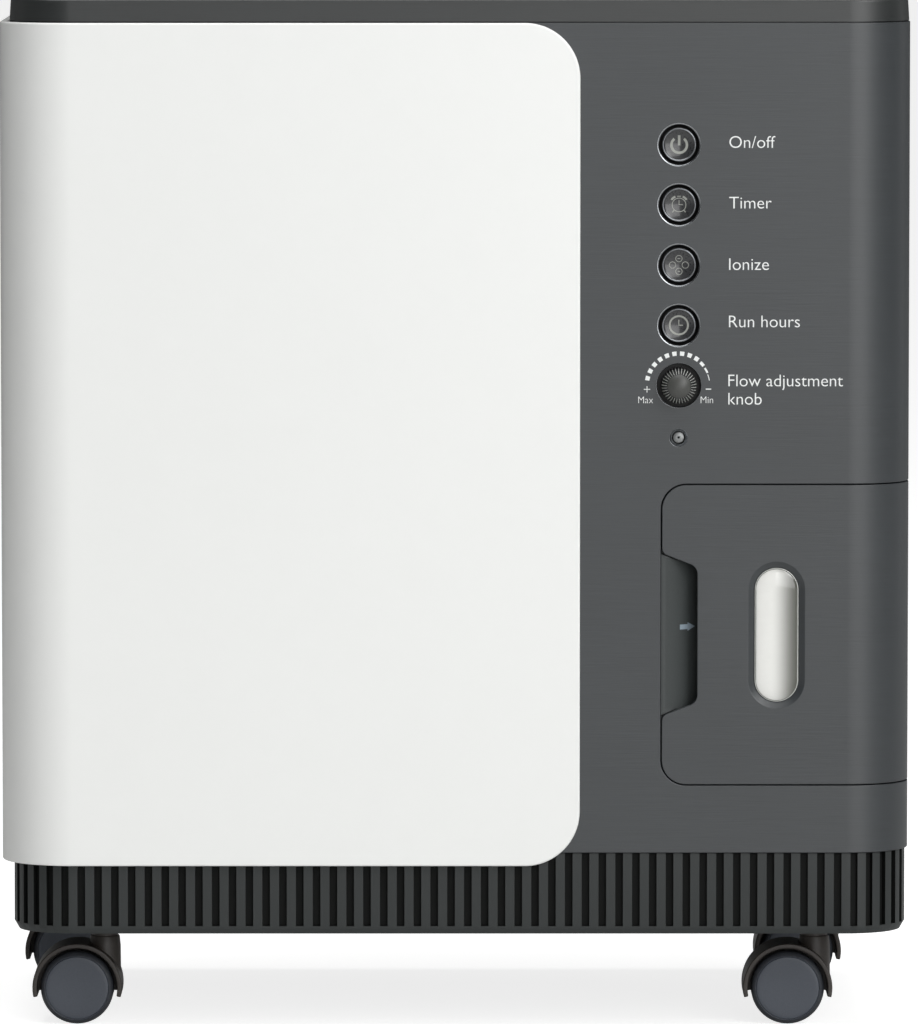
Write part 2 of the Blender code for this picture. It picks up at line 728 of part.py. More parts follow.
def make_cooling(plastic, copper):
    x, y = FAN_AXIS
    low = SHELF_TOP + GAP
    square = rounded(-0.060, -0.060, 0.060, 0.060, 0.006, 2)
    frame = add("cooling_fan_frame", prism(square, low, low + 0.025), plastic, (x, y, 0))
    cut(frame, "duct", rounds((0.0575, low + 0.003), (0.0575, low + 0.04)), (x, y, 0))
    corners = [(-0.045, 0.006), (0.006, 0.006), (-0.045, -0.038), (0.006, -0.038)]
    ports = [prism(rectangle(px, py, px + 0.039, py + 0.032), low - 0.01, low + 0.01) for px, py in corners]
    cut(frame, "inlet_ports", several(ports), (x, y, 0))
    rotor = add("cooling_fan_rotor", rounds((0.019, low + 0.005), (0.019, low + 0.023)), plastic, (x, y, 0))
    blades = [fan_blade(number, 7, low + 0.014) for number in range(7)]
    join(rotor, "blades", several(blades), (x, y, 0))
    turns = [2 * math.pi * step / 14 for step in range(36)]
    coil = [(x + 0.045 * math.cos(turn), y + 0.045 * math.sin(turn), 0.266 + 0.0018 * turn) for turn in turns]
    add_tube("cooling_coil", coil, 0.003, copper)


def add_tube(name, points, radius, material, smooth_steps=0):
    """Round tube along points, as a curve with a bevel and closed ends."""
    curve = bpy.data.curves.new(name, "CURVE")
    curve.dimensions = "3D"
    curve.bevel_depth = radius
    curve.bevel_resolution = 2
    curve.use_fill_caps = True
    curve.resolution_u = max(smooth_steps, 1)
    spline = curve.splines.new("NURBS" if smooth_steps else "POLY")
    spline.points.add(len(points) - 1)
    for point, place in zip(spline.points, points):
        point.co = (*place, 1)
    if smooth_steps:
        spline.order_u = 4
        spline.use_endpoint_u = True
    curve.materials.append(material)
    tube = bpy.data.objects.new(name, curve)
    bpy.context.collection.objects.link(tube)


def make_gas_parts(white, plastic, rubber):
    for place, y in TOWERS.items():
        low = BASE_FLOOR + GAP
        tower = rounds((0.029, low), (0.032, low + 0.004), (0.032, 0.316), (0.029, 0.320))
        add(f"sieve_tower_{place}", tower, white, (TOWER_X, y, 0))
    manifold = box((-0.027, -0.036, 0.3203), (0.027, 0.084, 0.345))
    body = add("valve_manifold", manifold, plastic, (TOWER_X, 0.0, 0))
    valves = [moved(rounds((0.011, 0.340), (0.011, 0.372), steps=SMALL_ROUND), 0, y) for y in (-0.008, 0.024, 0.056)]
    join(body, "solenoids", several(valves), (TOWER_X, 0.0, 0))
    tank = rounds((0.016, 0.0473), (0.020, 0.052), (0.020, 0.284), (0.016, 0.290))
    add("oxygen_tank", tank, white, (*TANK, 0))
    valve_back = BODY_FRONT + 0.038
    route = [
        (*TANK, 0.2903),
        (*TANK, 0.310),
        (TANK[0], -0.035, 0.312),
        (0.140, -0.050, 0.312),
        (CONTROL_X, -0.050, 0.300),
        (CONTROL_X, -0.042, KNOB_HEIGHT),
        (CONTROL_X, valve_back + GAP, KNOB_HEIGHT),
    ]
    add_tube("product_tube", route, 0.003, rubber, 5)


def make_electronics(board_green, plastic):
    board = add("power_board", box((0.0715, -0.080, 0.300), (0.0731, 0.040, 0.420)), board_green)
    parts = [
        box((0.050, -0.070, 0.310), (0.072, -0.030, 0.350)),
        box((0.045, -0.020, 0.310), (0.072, 0.030, 0.330)),
        moved(rounds((0.009, 0.345), (0.009, 0.385), steps=SMALL_ROUND), 0.0635, 0.005),
    ]
    join(board, "components", several(parts))
    add("ion_generator", box((0.125, -0.105, 0.262), (0.160, -0.090, 0.292)), plastic)


def main():
    for leftover in list(bpy.data.objects):
        bpy.data.objects.remove(leftover)
    body_gray = paint("body_gray", (0.098, 0.107, 0.112), 0.45)
    black = paint("black_plastic", (0.012, 0.013, 0.014), 0.45)
    white = paint("gloss_white", (0.85, 0.86, 0.86), 0.15)
    liner = paint("liner_gray", (0.05, 0.055, 0.058), 0.5)
    clear = paint("clear_plastic", (0.8, 0.85, 0.85), 0.1, alpha=0.5)
    steel = paint("steel", (0.55, 0.56, 0.57), 0.35, 1.0)
    brass = paint("brass", (0.65, 0.48, 0.2), 0.35, 1.0)
    aluminium = paint("cast_aluminium", (0.6, 0.61, 0.62), 0.5, 1.0)
    copper = paint("copper", (0.7, 0.35, 0.2), 0.35, 1.0)
    rubber = paint("rubber", (0.02, 0.02, 0.022), 0.8)
    board_green = paint("board_green", (0.02, 0.15, 0.06), 0.5)
    foam = paint("filter_foam", (0.05, 0.05, 0.05), 0.95)

    make_front_shell(body_gray)
    make_rear_shell(body_gray)
    make_front_panel(white)
    make_top_cover(black)
    make_base_tray(black)
    make_buttons(black)
    make_control_frame(liner)
    make_button_board(board_green)
    make_flow_control(black, brass)
    make_outlet(steel)
    make_bay(liner)
    make_door(body_gray, clear)
    make_humidifier(clear, liner)
    make_filter(body_gray, foam)
    make_mains_inlet(black)
    make_casters(black, rubber, steel)
    make_frame(steel)
    make_compressor(aluminium, black, steel, rubber)
    make_cooling(black, copper)
    make_gas_parts(white, liner, rubber)
    make_electronics(board_green, liner)


main()
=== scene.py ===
"""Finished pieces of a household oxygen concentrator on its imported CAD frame, laid out as an add-on.

Metres, +Z up, and the front faces -Y. A shape that is drawn flat and turned by FRONTWARD is drawn as
it looks from the front: its X is to the right, its Y is up and its Z grows towards the viewer.
"""

import json
import math

import bmesh
import bpy
from mathutils import Matrix, Vector


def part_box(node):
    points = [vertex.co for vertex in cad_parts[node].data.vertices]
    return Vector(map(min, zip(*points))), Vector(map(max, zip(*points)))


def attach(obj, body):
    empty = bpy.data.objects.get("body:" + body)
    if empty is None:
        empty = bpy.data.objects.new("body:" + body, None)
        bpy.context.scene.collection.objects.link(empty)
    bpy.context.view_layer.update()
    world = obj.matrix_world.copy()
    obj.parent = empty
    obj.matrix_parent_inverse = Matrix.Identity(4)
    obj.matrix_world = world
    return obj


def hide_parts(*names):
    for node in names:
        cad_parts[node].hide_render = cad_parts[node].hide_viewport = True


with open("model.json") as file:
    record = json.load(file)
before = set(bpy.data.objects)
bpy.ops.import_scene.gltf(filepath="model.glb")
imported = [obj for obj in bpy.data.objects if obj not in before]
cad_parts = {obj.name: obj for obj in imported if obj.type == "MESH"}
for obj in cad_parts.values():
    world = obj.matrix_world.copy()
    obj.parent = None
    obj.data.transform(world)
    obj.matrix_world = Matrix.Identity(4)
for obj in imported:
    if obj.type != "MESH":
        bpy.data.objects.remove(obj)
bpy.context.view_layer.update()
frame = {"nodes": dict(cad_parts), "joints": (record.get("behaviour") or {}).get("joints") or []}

bl_info = {
    "name": "Oxygen concentrator",
    "version": (1, 0, 0),
    "blender": (4, 5, 0),
    "location": "View3D > Sidebar > Concentrator",
    "description": "Finished casing, controls, humidifier door and casters of an oxygen concentrator",
    "category": "Object",
}

# Places that the frame gives

SHELL_LOW, SHELL_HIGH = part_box("front_shell")
LEFT, FRONT, BOTTOM = SHELL_LOW
RIGHT, JOINT, TOP = SHELL_HIGH
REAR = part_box("rear_shell")[1].y
PANEL_LOW, PANEL_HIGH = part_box("front_panel")
COVER_LOW, COVER_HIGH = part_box("top_cover")
BASE_LOW, BASE_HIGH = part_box("base_tray")
DOOR_LOW, DOOR_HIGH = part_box("humidifier_door")
BAY_LOW, BAY_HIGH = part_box("humidifier_bay")
PIN_LOW, PIN_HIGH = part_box("door_hinge_pin")
BOTTLE_LOW, BOTTLE_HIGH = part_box("humidifier_bottle")
CAP_LOW, CAP_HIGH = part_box("humidifier_cap")
FILTER_LOW, FILTER_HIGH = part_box("filter_cover")
INLET_LOW, INLET_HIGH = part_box("mains_inlet")


def middle(node):
    low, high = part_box(node)
    return (low + high) / 2


KNOB = middle("flow_knob")
OUTLET = middle("outlet_nozzle")
WINDOW = middle("door_window")
HINGE = middle("door_hinge_pin")
BUTTONS = {name: middle(f"{name}_button") for name in ("power", "timer", "ion", "hours")}
CORNERS = ("front_left", "front_right", "rear_left", "rear_right")
SWIVELS = {joint["child"]: joint["pos_m"] for joint in frame["joints"] if joint["name"].startswith("swivel_")}

UPRIGHT = Matrix.Identity(4)
FRONTWARD = Matrix.Rotation(math.pi / 2, 4, "X")
REARWARD = Matrix.Rotation(math.pi, 4, "Z") @ FRONTWARD
WALL = 0.0028
SEAM = 0.0005
GAP = 0.0003
MERGE = 1e-6
BASE_INSET = 0.0012
KNUCKLE_RADIUS = 0.0045
BASE_TOP = BOTTOM - GAP
CORNER_STEPS = 24
TURN_STEPS = 72
HALF_RIB_STEPS = 3
GROOVE_STEPS = 5
PERIOD_STEPS = 2 * HALF_RIB_STEPS + GROOVE_STEPS
GROOVE_SHARE = GROOVE_STEPS / PERIOD_STEPS
RIBS_PER_CORNER = 6
# Material number for a control well's wall, painted black as shade.
WELL_PAINTED_SHADE = 1
WELL_LIP = 2


def linear(code):
    """The one turn from an sRGB hex colour to linear."""
    channels = [int(code[at : at + 2], 16) / 255 for at in (1, 3, 5)]
    return tuple(c / 12.92 if c <= 0.04045 else ((c + 0.055) / 1.055) ** 2.4 for c in channels)


# Settings


def length(name, description, default):
    return bpy.props.FloatProperty(
        name=name, description=description, default=default, min=0.0, unit="LENGTH", precision=5
    )


def color(name, description, default):
    return bpy.props.FloatVectorProperty(
        name=name, description=description, default=linear(default), size=3, min=0.0, max=1.0, subtype="COLOR"
    )


class CaseSettings(bpy.types.PropertyGroup):
    corner: length("Body corner", "Radius of the body's upright corners", 0.028)
    edge: length("Shell edge", "Rounding of the shells' edges", 0.00035)
    panel_edge: length("Panel edge", "Rounding of the front panel's edges", 0.0009)
    panel_corner: length("Panel corner", "Radius of the front panel's corners", 0.0242)
    cover_edge: length("Cover edge", "Rounding of the top cover's upper edge", 0.0010)
    body: color("Body", "Body plastic", "#2e3235")
    panel: color("Panel", "Front panel plastic", "#f4f5f3")
    cover: color("Cover", "Top cover plastic", "#242727")


class BaseSettings(bpy.types.PropertyGroup):
    rib_pitch: length("Rib pitch", "From one rib of the base to the next", 0.00738)
    groove_depth: length("Groove depth", "How deep the grooves of the base are", 0.0020)
    chamfer_height: length("Chamfer height", "Height of the smooth strip under the ribs", 0.0035)
    rib: color("Rib", "Crests of the ribs", "#282c2c")
    # The grooves' colour is darker than the ribs' as painted shade.
    groove: color("Groove", "Grooves between the ribs", "#080a09")


class ControlSettings(bpy.types.PropertyGroup):
    cap_radius: length("Button radius", "Radius of a button's cap", 0.0074)
    dish_depth: length("Dish depth", "How deep a button's face is dished", 0.0011)
    knob_ridges: bpy.props.IntProperty(
        name="Knob ridges", description="Ridges round the flow knob", default=34, min=8, max=90
    )
    ridge_height: length("Ridge height", "Height of the flow knob's ridges", 0.0010)
    scale_radius: length("Scale radius", "Radius of the flow knob's printed scale", 0.0140)
    cap: color("Button cap", "Smoked button caps", "#2b2c2e")
    icon: color("Icon", "Marks on the buttons", "#9b9d97")
    ink: color("Ink", "Printing on the body", "#f2f4f3")
    knob: color("Knob", "Flow knob", "#191a1b")


class DoorSettings(bpy.types.PropertyGroup):
    corner: length("Door corner", "Radius of the door's corners", 0.0107)
    notch_right: length("Notch reach", "Right edge of the finger notch", 0.1063)
    window_width: length("Window width", "Width of the window's pane", 0.0192)
    window_height: length("Window height", "Height of the window's pane", 0.0590)
    bevel: length("Window bevel", "Width of the sloped recess round the window", 0.0027)
    window: color("Window", "Pearly window pane", "#f0f0ec")
    liner: color("Liner", "Humidifier compartment liner", "#3c4040")


class CasterSettings(bpy.types.PropertyGroup):
    rim: length("Hood rim", "Thickness of a hood's skin", 0.0020)
    cap_radius: length("Wheel cap", "Radius of the disc on a wheel's face", 0.0140)
    hood: color("Hood", "Caster hoods", "#37322e")
    wheel: color("Wheel", "Wheel discs", "#4a4f58")


SETTINGS = {
    "concentrator_case": CaseSettings,
    "concentrator_base": BaseSettings,
    "concentrator_controls": ControlSettings,
    "concentrator_door": DoorSettings,
    "concentrator_casters": CasterSettings,
}


def settings(group):
    return getattr(bpy.context.scene, f"concentrator_{group}")


# Materials


def add_node(tree, kind, options=None, inputs=None):
    """Adds a node. Options are its own settings, and inputs hold a value or a link for each socket."""
    made = tree.nodes.new(f"ShaderNode{kind}")
    for name, value in (options or {}).items():
        setattr(made, name, value)
    for socket, value in (inputs or {}).items():
        if isinstance(value, bpy.types.NodeSocket):
            tree.links.new(value, made.inputs[socket])
        else:
            made.inputs[socket].default_value = value
    return made


def finish(name, light, dark, grain, roughness, relief, stretch=(1, 1, 1), cells=False, **sockets):
    """Material whose colour, roughness and relief follow a grain of that size in metres.

    The grain is drawn out along each axis by its stretch, and a slow cloud shifts the colour a little.
    """
    found = bpy.data.materials.get(name)
    if found:
        return found
    material = bpy.data.materials.new(name)
    material.use_nodes = True
    tree = material.node_tree
    shader = tree.nodes["Principled BSDF"]
    place = add_node(tree, "TexCoord").outputs["Object"]
    drawn = add_node(
        tree, "Mapping", inputs={"Vector": place, "Scale": [1 / reach for reach in stretch]}
    ).outputs[0]
    if cells:
        fine = add_node(tree, "TexVoronoi", inputs={"Vector": drawn, "Scale": 1 / grain}).outputs["Distance"]
    else:
        inputs = {"Vector": drawn, "Scale": 1 / grain, "Detail": 3.0, "Roughness": 0.6}
        fine = add_node(tree, "TexNoise", inputs=inputs).outputs["Fac"]
    cloud = add_node(tree, "TexNoise", inputs={"Vector": place, "Scale": 18.0, "Detail": 2.0}).outputs["Fac"]
    both = add_node(tree, "Math", {"operation": "MULTIPLY_ADD"}, {0: cloud, 1: 0.5, 2: fine}).outputs[0]
    share = add_node(tree, "MapRange", inputs={"Value": both, "From Min": 0.45, "From Max": 1.05}).outputs[0]
    mix = add_node(tree, "Mix", {"data_type": "RGBA"}, {0: share, 6: (*dark, 1.0), 7: (*light, 1.0)})
    tree.links.new(mix.outputs[2], shader.inputs["Base Color"])
    rough = add_node(tree, "MapRange", inputs={"Value": fine, "To Min": roughness[0], "To Max": roughness[1]})
    tree.links.new(rough.outputs[0], shader.inputs["Roughness"])
    if relief:
        bump = add_node(tree, "Bump", inputs={"Height": fine, "Distance": relief, "Strength": 1.0})
        tree.links.new(bump.outputs[0], shader.inputs["Normal"])
    for socket, value in sockets.items():
        shader.inputs[socket.replace("_", " ")].default_value = value
    return material


def tint(base, share):
    """The colour made darker or lighter by a share."""
    return tuple(min(1.0, channel * share) for channel in base)


def body_abs():
    """ABS moulded against a brushed tool: satin, with fine level lines that catch the light."""
    base = settings("case").body
    return finish(
        "abs_moulded_level_grain",
        tint(base, 1.12),
        tint(base, 0.88),
        0.0007,
        (0.38, 0.48),
        0.00005,
        (28, 28, 1),
        Specular_IOR_Level=0.8,
    )


def panel_abs():
    """ABS moulded in a polished tool and lacquered: deep gloss with a slow, barely wavy skin."""
    base = settings("case").panel
    return finish(
        "abs_lacquered_white",
        base,
        tint(base, 0.992),
        0.016,
        (0.25, 0.28),
        0.000004,
        Coat_Weight=0.25,
        Coat_Roughness=0.16,
    )


def cover_abs():
    """The same grained ABS in near black, a little glossier where it is handled."""
    base = settings("case").cover
    return finish(
        "abs_moulded_dark_grain",
        tint(base, 1.10),
        tint(base, 0.90),
        0.0007,
        (0.36, 0.46),
        0.000035,
        (28, 28, 1),
        Specular_IOR_Level=0.7,
    )


def rib_abs():
    """Black ABS of the ribs and the rest of the base; the grooves between the ribs take a darker copy as
    painted shade.
    """
    base = settings("base").rib
    return finish(
        "abs_rib_crests", tint(base, 1.08), tint(base, 0.92), 0.0006, (0.42, 0.52), 0.00002, (1, 1, 12)
    )


def groove_painted_shade():
    """Black ABS in the grooves, rough, with the shade in them painted as a darker colour."""
    base = settings("base").groove
    return finish(
        "abs_groove_painted_shade",
        tint(base, 1.1),
        tint(base, 0.9),
        0.0005,
        (0.62, 0.75),
        0.00002,
        Specular_IOR_Level=0.2,
    )


def acetal_black_and_well_shade():
    """Black acetal, smooth and dark: the own colour of the mains inlet and the fan and control frames, and
    painted shade on the walls of the control wells, the sides of the button caps and the deep end of the
    outlet.
    """
    return finish(
        "acetal_black_and_painted_well_shade", linear("#0c0d0e"), linear("#070708"), 0.0008, (0.42, 0.52), 0.000008
    )


def lip_chrome():
    """Black-chromed lip round a button's well: a dark mirror that picks out the light above it."""
    return finish(
        "black_chrome_plated",
        linear("#a2a5a8"),
        linear("#8a8d90"),
        0.0009,
        (0.16, 0.22),
        0.000004,
        Metallic=1.0,
    )


def cap_polycarbonate():
    """Smoked polycarbonate cap: a dark face under a hard gloss."""
    base = settings("controls").cap
    return finish(
        "polycarbonate_smoked",
        tint(base, 1.15),
        tint(base, 0.85),
        0.0011,
        (0.24, 0.32),
        0.000006,
        Coat_Weight=0.5,
    )


def rim_metal():
    """Bright-turned rim of a button: fine ring lines over a mirror."""
    return finish(
        "aluminium_turned_bright",
        linear("#9a9da1"),
        linear("#7c7f83"),
        0.0005,
        (0.24, 0.34),
        0.000004,
        Metallic=1.0,
    )


def knob_nylon():
    """Glass-filled nylon, moulded: black with a satin skin."""
    base = settings("controls").knob
    return finish(
        "nylon_moulded_black",
        tint(base, 1.2),
        tint(base, 0.8),
        0.0009,
        (0.24, 0.34),
        0.000010,
        Coat_Weight=0.8,
        Coat_Roughness=0.12,
    )


def knob_crest_painted_highlight():
    """The same nylon, painted pale and smooth on the crests of the ridges as a highlight."""
    return finish("nylon_crests_painted_highlight", linear("#b4b6b2"), linear("#8f918c"), 0.0006, (0.18, 0.26), 0.000006)


def knob_face():
    """Spark-grained face of the knob: satin, so that it shades softly from side to side."""
    return finish(
        "nylon_spark_grain_face", linear("#4e4f4c"), linear("#424341"), 0.0005, (0.36, 0.46), 0.000008
    )


def spigot_steel():
    """Stainless steel, turned and tumbled: soft grey with fine pits."""
    return finish(
        "stainless_turned_tumbled",
        linear("#a9abab"),
        linear("#858787"),
        0.0006,
        (0.46, 0.56),
        0.00001,
        Metallic=1.0,
    )


def ink_white():
    """Screen-printed ink: flat white with a slightly thin print."""
    base = settings("controls").ink
    return finish("ink_screen_printed", base, tint(base, 0.93), 0.0008, (0.50, 0.60), 0.000005)


def ink_gray():
    """Pad-printed grey ink on the button caps."""
    base = settings("controls").icon
    return finish("ink_pad_printed_gray", base, tint(base, 0.90), 0.0007, (0.45, 0.55), 0.000004)


def arrow_ink():
    """Pale blue-grey pad print of the finger arrow."""
    return finish(
        "ink_pad_printed_pale", linear("#93a0a8"), linear("#8492a0"), 0.0008, (0.45, 0.55), 0.000004
    )


def liner_polypropylene():
    """Polypropylene liner, moulded with a fine spark grain."""
    base = settings("door").liner
    return finish(
        "polypropylene_spark_grain",
        tint(base, 1.1),
        tint(base, 0.9),
        0.0008,
        (0.46, 0.58),
        0.000025,
        Specular_IOR_Level=0.45,
    )


def window_opal_painted_shade():
    """Opal polycarbonate, pale on the left, with painted shade that turns its colour grey towards the right.
    """
    name = "polycarbonate_opal_painted_shade"
    if name in bpy.data.materials:
        return bpy.data.materials[name]
    base = settings("door").window
    opal = finish(
        name, base, tint(base, 0.97), 0.0030, (0.16, 0.22), 0.000006, Coat_Weight=0.6, Coat_Roughness=0.04
    )
    tree = opal.node_tree
    place = add_node(tree, "TexCoord").outputs["Object"]
    across = add_node(tree, "SeparateXYZ", inputs={"Vector": place}).outputs["X"]
    half = settings("door").window_width / 2
    # Painted shade: across X the pane's colour runs from the pale opal on the left to grey on the right.
    ends = {"Value": across, "From Min": WINDOW.x - 0.30 * half, "From Max": WINDOW.x + 0.90 * half}
    painted_shade_share = add_node(tree, "MapRange", {"interpolation_type": "SMOOTHSTEP"}, ends).outputs[0]
    shader = tree.nodes["Principled BSDF"]
    lit = shader.inputs["Base Color"].links[0].from_socket
    mix = add_node(tree, "Mix", {"data_type": "RGBA"}, {0: painted_shade_share, 6: lit, 7: (*linear("#55564f"), 1.0)})
    tree.links.new(mix.outputs[2], shader.inputs["Base Color"])
    return opal


def window_bead():
    """Polished edge of the pane: a bright bead that pipes light from the pane."""
    return finish(
        "polycarbonate_polished_edge", linear("#d9dbd7"), linear("#c9cbc7"), 0.002, (0.10, 0.16), 0.000004
    )


def window_groove_painted_shade():
    """Groove moulded inside the bead, its shadow painted grey."""
    return finish(
        "polycarbonate_shadow_groove", linear("#82847f"), linear("#747671"), 0.002, (0.30, 0.40), 0.000004
    )


def bottle_polycarbonate():
    """Clear polycarbonate, blow-moulded: faint ripples in a clear wall."""
    return finish(
        "polycarbonate_blown_clear",
        linear("#eef4f4"),
        linear("#e2ebeb"),
        0.006,
        (0.04, 0.10),
        0.00004,
        Transmission_Weight=0.85,
        IOR=1.58,
    )


def hood_nylon():
    """Brown-black nylon hood, moulded: satin, a little dusty."""
    base = settings("casters").hood
    return finish("nylon_moulded_hood", tint(base, 1.15), tint(base, 0.85), 0.0012, (0.38, 0.50), 0.00002)


def wheel_nylon():
    """Blue-grey nylon disc with a fine sand-blasted grain."""
    base = settings("casters").wheel
    return finish("nylon_blasted_disc", tint(base, 1.12), tint(base, 0.88), 0.0006, (0.42, 0.55), 0.00003)


def tread_polyurethane():
    """Dark polyurethane tread, cast on the disc: satin and a little scuffed."""
    return finish(
        "polyurethane_cast_tread", linear("#383b41"), linear("#2b2e33"), 0.0014, (0.40, 0.55), 0.00003
    )


def foam_open_cell():
    """Reticulated polyurethane foam: open cells about 1.5 mm across."""
    return finish(
        "polyurethane_foam_open_cell",
        linear("#3a3b3c"),
        linear("#121213"),
        0.0015,
        (0.85, 0.95),
        0.0006,
        cells=True,
    )


def steel_ground():
    """Ground steel pin stock with fine lines."""
    return finish(
        "steel_ground",
        linear("#b4b6b8"),
        linear("#8e9092"),
        0.0004,
        (0.22, 0.34),
        0.000006,
        (1, 1, 20),
        Metallic=1.0,
    )


def steel_zinc_sheet():
    """Zinc-plated sheet steel with a faint spangle."""
    return finish(
        "steel_zinc_plated",
        linear("#aeb3b6"),
        linear("#85898c"),
        0.006,
        (0.30, 0.45),
        0.00001,
        cells=True,
        Metallic=1.0,
    )


def brass_turned():
    """Turned brass with fine tool rings."""
    return finish(
        "brass_turned",
        linear("#c8a45a"),
        linear("#a88443"),
        0.0005,
        (0.24, 0.36),
        0.000006,
        (12, 1, 12),
        Metallic=1.0,
    )


def aluminium_cast():
    """Die-cast aluminium: grey skin with a coarse, dull grain."""
    return finish(
        "aluminium_die_cast",
        linear("#a6a9ab"),
        linear("#7f8284"),
        0.0012,
        (0.42, 0.60),
        0.00005,
        Metallic=1.0,
    )


def motor_enamel():
    """Black stove enamel over steel, with a light orange peel."""
    return finish("enamel_stoved_black", linear("#26282a"), linear("#18191a"), 0.0025, (0.28, 0.40), 0.00003)


def rubber_moulded():
    """Moulded nitrile rubber: matt with a faint bloom."""
    return finish(
        "rubber_nitrile_moulded", linear("#2c2c2d"), linear("#1b1b1c"), 0.0018, (0.70, 0.85), 0.00003
    )


def powder_white():
    """White powder coat: fine orange peel."""
    return finish("powder_coat_white", linear("#dfe1e1"), linear("#cfd2d2"), 0.0018, (0.35, 0.48), 0.00003)


def copper_drawn():
    """Drawn copper tube with darker handling marks."""
    return finish(
        "copper_drawn", linear("#c47f5a"), linear("#96563a"), 0.004, (0.22, 0.40), 0.000008, Metallic=1.0
    )


def board_laminate():
    """Green glass-epoxy laminate with the weave under the mask."""
    return finish("epoxy_laminate_green", linear("#1f6b3d"), linear("#14502c"), 0.0011, (0.30, 0.42), 0.00001)


def floor_paint():
    """Pale studio floor, painted matt and lit from under its face, so that shadows on it stay soft."""
    pale = linear("#c9c9c8")
    painted = finish(
        "paint_matt_pale",
        pale,
        tint(pale, 0.985),
        0.05,
        (0.75, 0.85),
        0.0,
        Emission_Color=(*linear("#ffffff"), 1.0),
    )
    tree = painted.node_tree
    seen = add_node(tree, "LightPath").outputs["Is Camera Ray"]
    strength = add_node(tree, "MapRange", inputs={"Value": seen, "To Min": 0.08, "To Max": 0.80}).outputs[0]
    tree.links.new(strength, tree.nodes["Principled BSDF"].inputs["Emission Strength"])
    return painted


# Shapes


def only(kind, items):
    return [item for item in items if isinstance(item, kind)]


def plate(low, high, radius=0.0, steps=CORNER_STEPS, corners=None):
    """Flat face from one corner to the other, with round corners where the test says so."""
    shape = bmesh.new()
    bmesh.ops.create_grid(shape, x_segments=1, y_segments=1, size=0.5)
    bmesh.ops.scale(shape, vec=(high[0] - low[0], high[1] - low[1], 1), verts=shape.verts)
    center = ((low[0] + high[0]) / 2, (low[1] + high[1]) / 2, 0)
    bmesh.ops.translate(shape, vec=center, verts=shape.verts)
    chosen = [vert for vert in shape.verts if corners is None or corners(vert.co)]
    if radius:
        bmesh.ops.bevel(
            shape,
            geom=chosen,
            offset=radius,
            offset_type="OFFSET",
            segments=steps,
            profile=0.5,
            affect="VERTICES",
            material=-1,
        )
    return shape


def outset_plate(outset, steps=CORNER_STEPS):
    """The body's outline seen from above, grown by the outset."""
    low = (LEFT - outset, FRONT - outset)
    high = (RIGHT + outset, REAR + outset)
    return plate(low, high, settings("case").corner + outset, steps)


def moved(shape, vec):
    bmesh.ops.translate(shape, vec=vec, verts=shape.verts)
    return shape


def outward(shape):
    """Merges doubles, then turns all faces outwards."""
    bmesh.ops.remove_doubles(shape, verts=shape.verts, dist=MERGE)
    bmesh.ops.recalc_face_normals(shape, faces=shape.faces)
    return shape


def raised(shape, height):
    """A flat shape given its height, closed."""
    made = bmesh.ops.extrude_face_region(shape, geom=shape.faces[:])["geom"]
    bmesh.ops.translate(shape, vec=(0, 0, height), verts=only(bmesh.types.BMVert, made))
    return outward(shape)


def drawn_on(shape, steps, upper=True):
    """Draws the top or bottom face on in steps of (inset, rise)."""
    sign = 1 if upper else -1
    face = max(shape.faces, key=lambda item: (sign * round(item.calc_center_median().z, 6), item.calc_area()))
    for inset, rise in steps:
        if inset:
            bmesh.ops.inset_region(shape, faces=[face], thickness=inset, use_even_offset=True)
        else:
            made = bmesh.ops.extrude_face_region(shape, geom=[face])["geom"]
            bmesh.ops.delete(shape, geom=[face], context="FACES_ONLY")
            face = only(bmesh.types.BMFace, made)[0]
        bmesh.ops.translate(shape, vec=(0, 0, rise), verts=face.verts[:])
    return outward(shape)


def quarter(radius, steps=4, sink=1):
    """Steps of (inset, rise) that round an edge over."""
    turns = [math.pi / 2 * step / steps for step in range(steps + 1)]
    pairs = zip(turns, turns[1:])
    return [
        (radius * (math.cos(a) - math.cos(b)), sink * radius * (math.sin(b) - math.sin(a))) for a, b in pairs
    ]


def box(low, high, radius=0.0, steps=6):
    """Block with round upright edges."""
    return moved(raised(plate(low, high, radius, steps), high[2] - low[2]), (0, 0, low[2]))


def pill(width, height, steps=16):
    shape = plate((-width / 2, -height / 2), (width / 2, height / 2), width / 2 - MERGE, steps)
    bmesh.ops.remove_doubles(shape, verts=shape.verts, dist=MERGE * 20)
    return shape


def turned(profile, steps=TURN_STEPS, closed=False):
    """(radius, level) points spun about Z. A closed profile makes a ring."""
    shape = bmesh.new()
    verts = [shape.verts.new((radius, 0, level)) for radius, level in profile]
    pairs = list(zip(verts, verts[1:])) + ([(verts[-1], verts[0])] if closed else [])
    edges = [shape.edges.new(pair) for pair in pairs]
    bmesh.ops.spin(
        shape,
        geom=verts + edges,
        cent=(0, 0, 0),
        axis=(0, 0, 1),
        angle=2 * math.pi,
        steps=steps,
        use_merge=True,
    )
    return outward(shape)


def wall(outset, thick, low, high, limits=()):
    """Upright wall that follows the body's outline, cut off at each (point, direction)."""
    shape = outset_plate(outset)
    shape.faces.ensure_lookup_table()
    core = shape.faces[0]
    bmesh.ops.inset_region(shape, faces=[core], thickness=thick, use_even_offset=True, use_boundary=True)
    bmesh.ops.delete(shape, geom=[core], context="FACES_ONLY")
    for point, direction in limits:
        geom = shape.verts[:] + shape.edges[:] + shape.faces[:]
        bmesh.ops.bisect_plane(
            shape, geom=geom, dist=MERGE, plane_co=point, plane_no=direction, clear_outer=True
        )
    return moved(raised(shape, high - low), (0, 0, low))


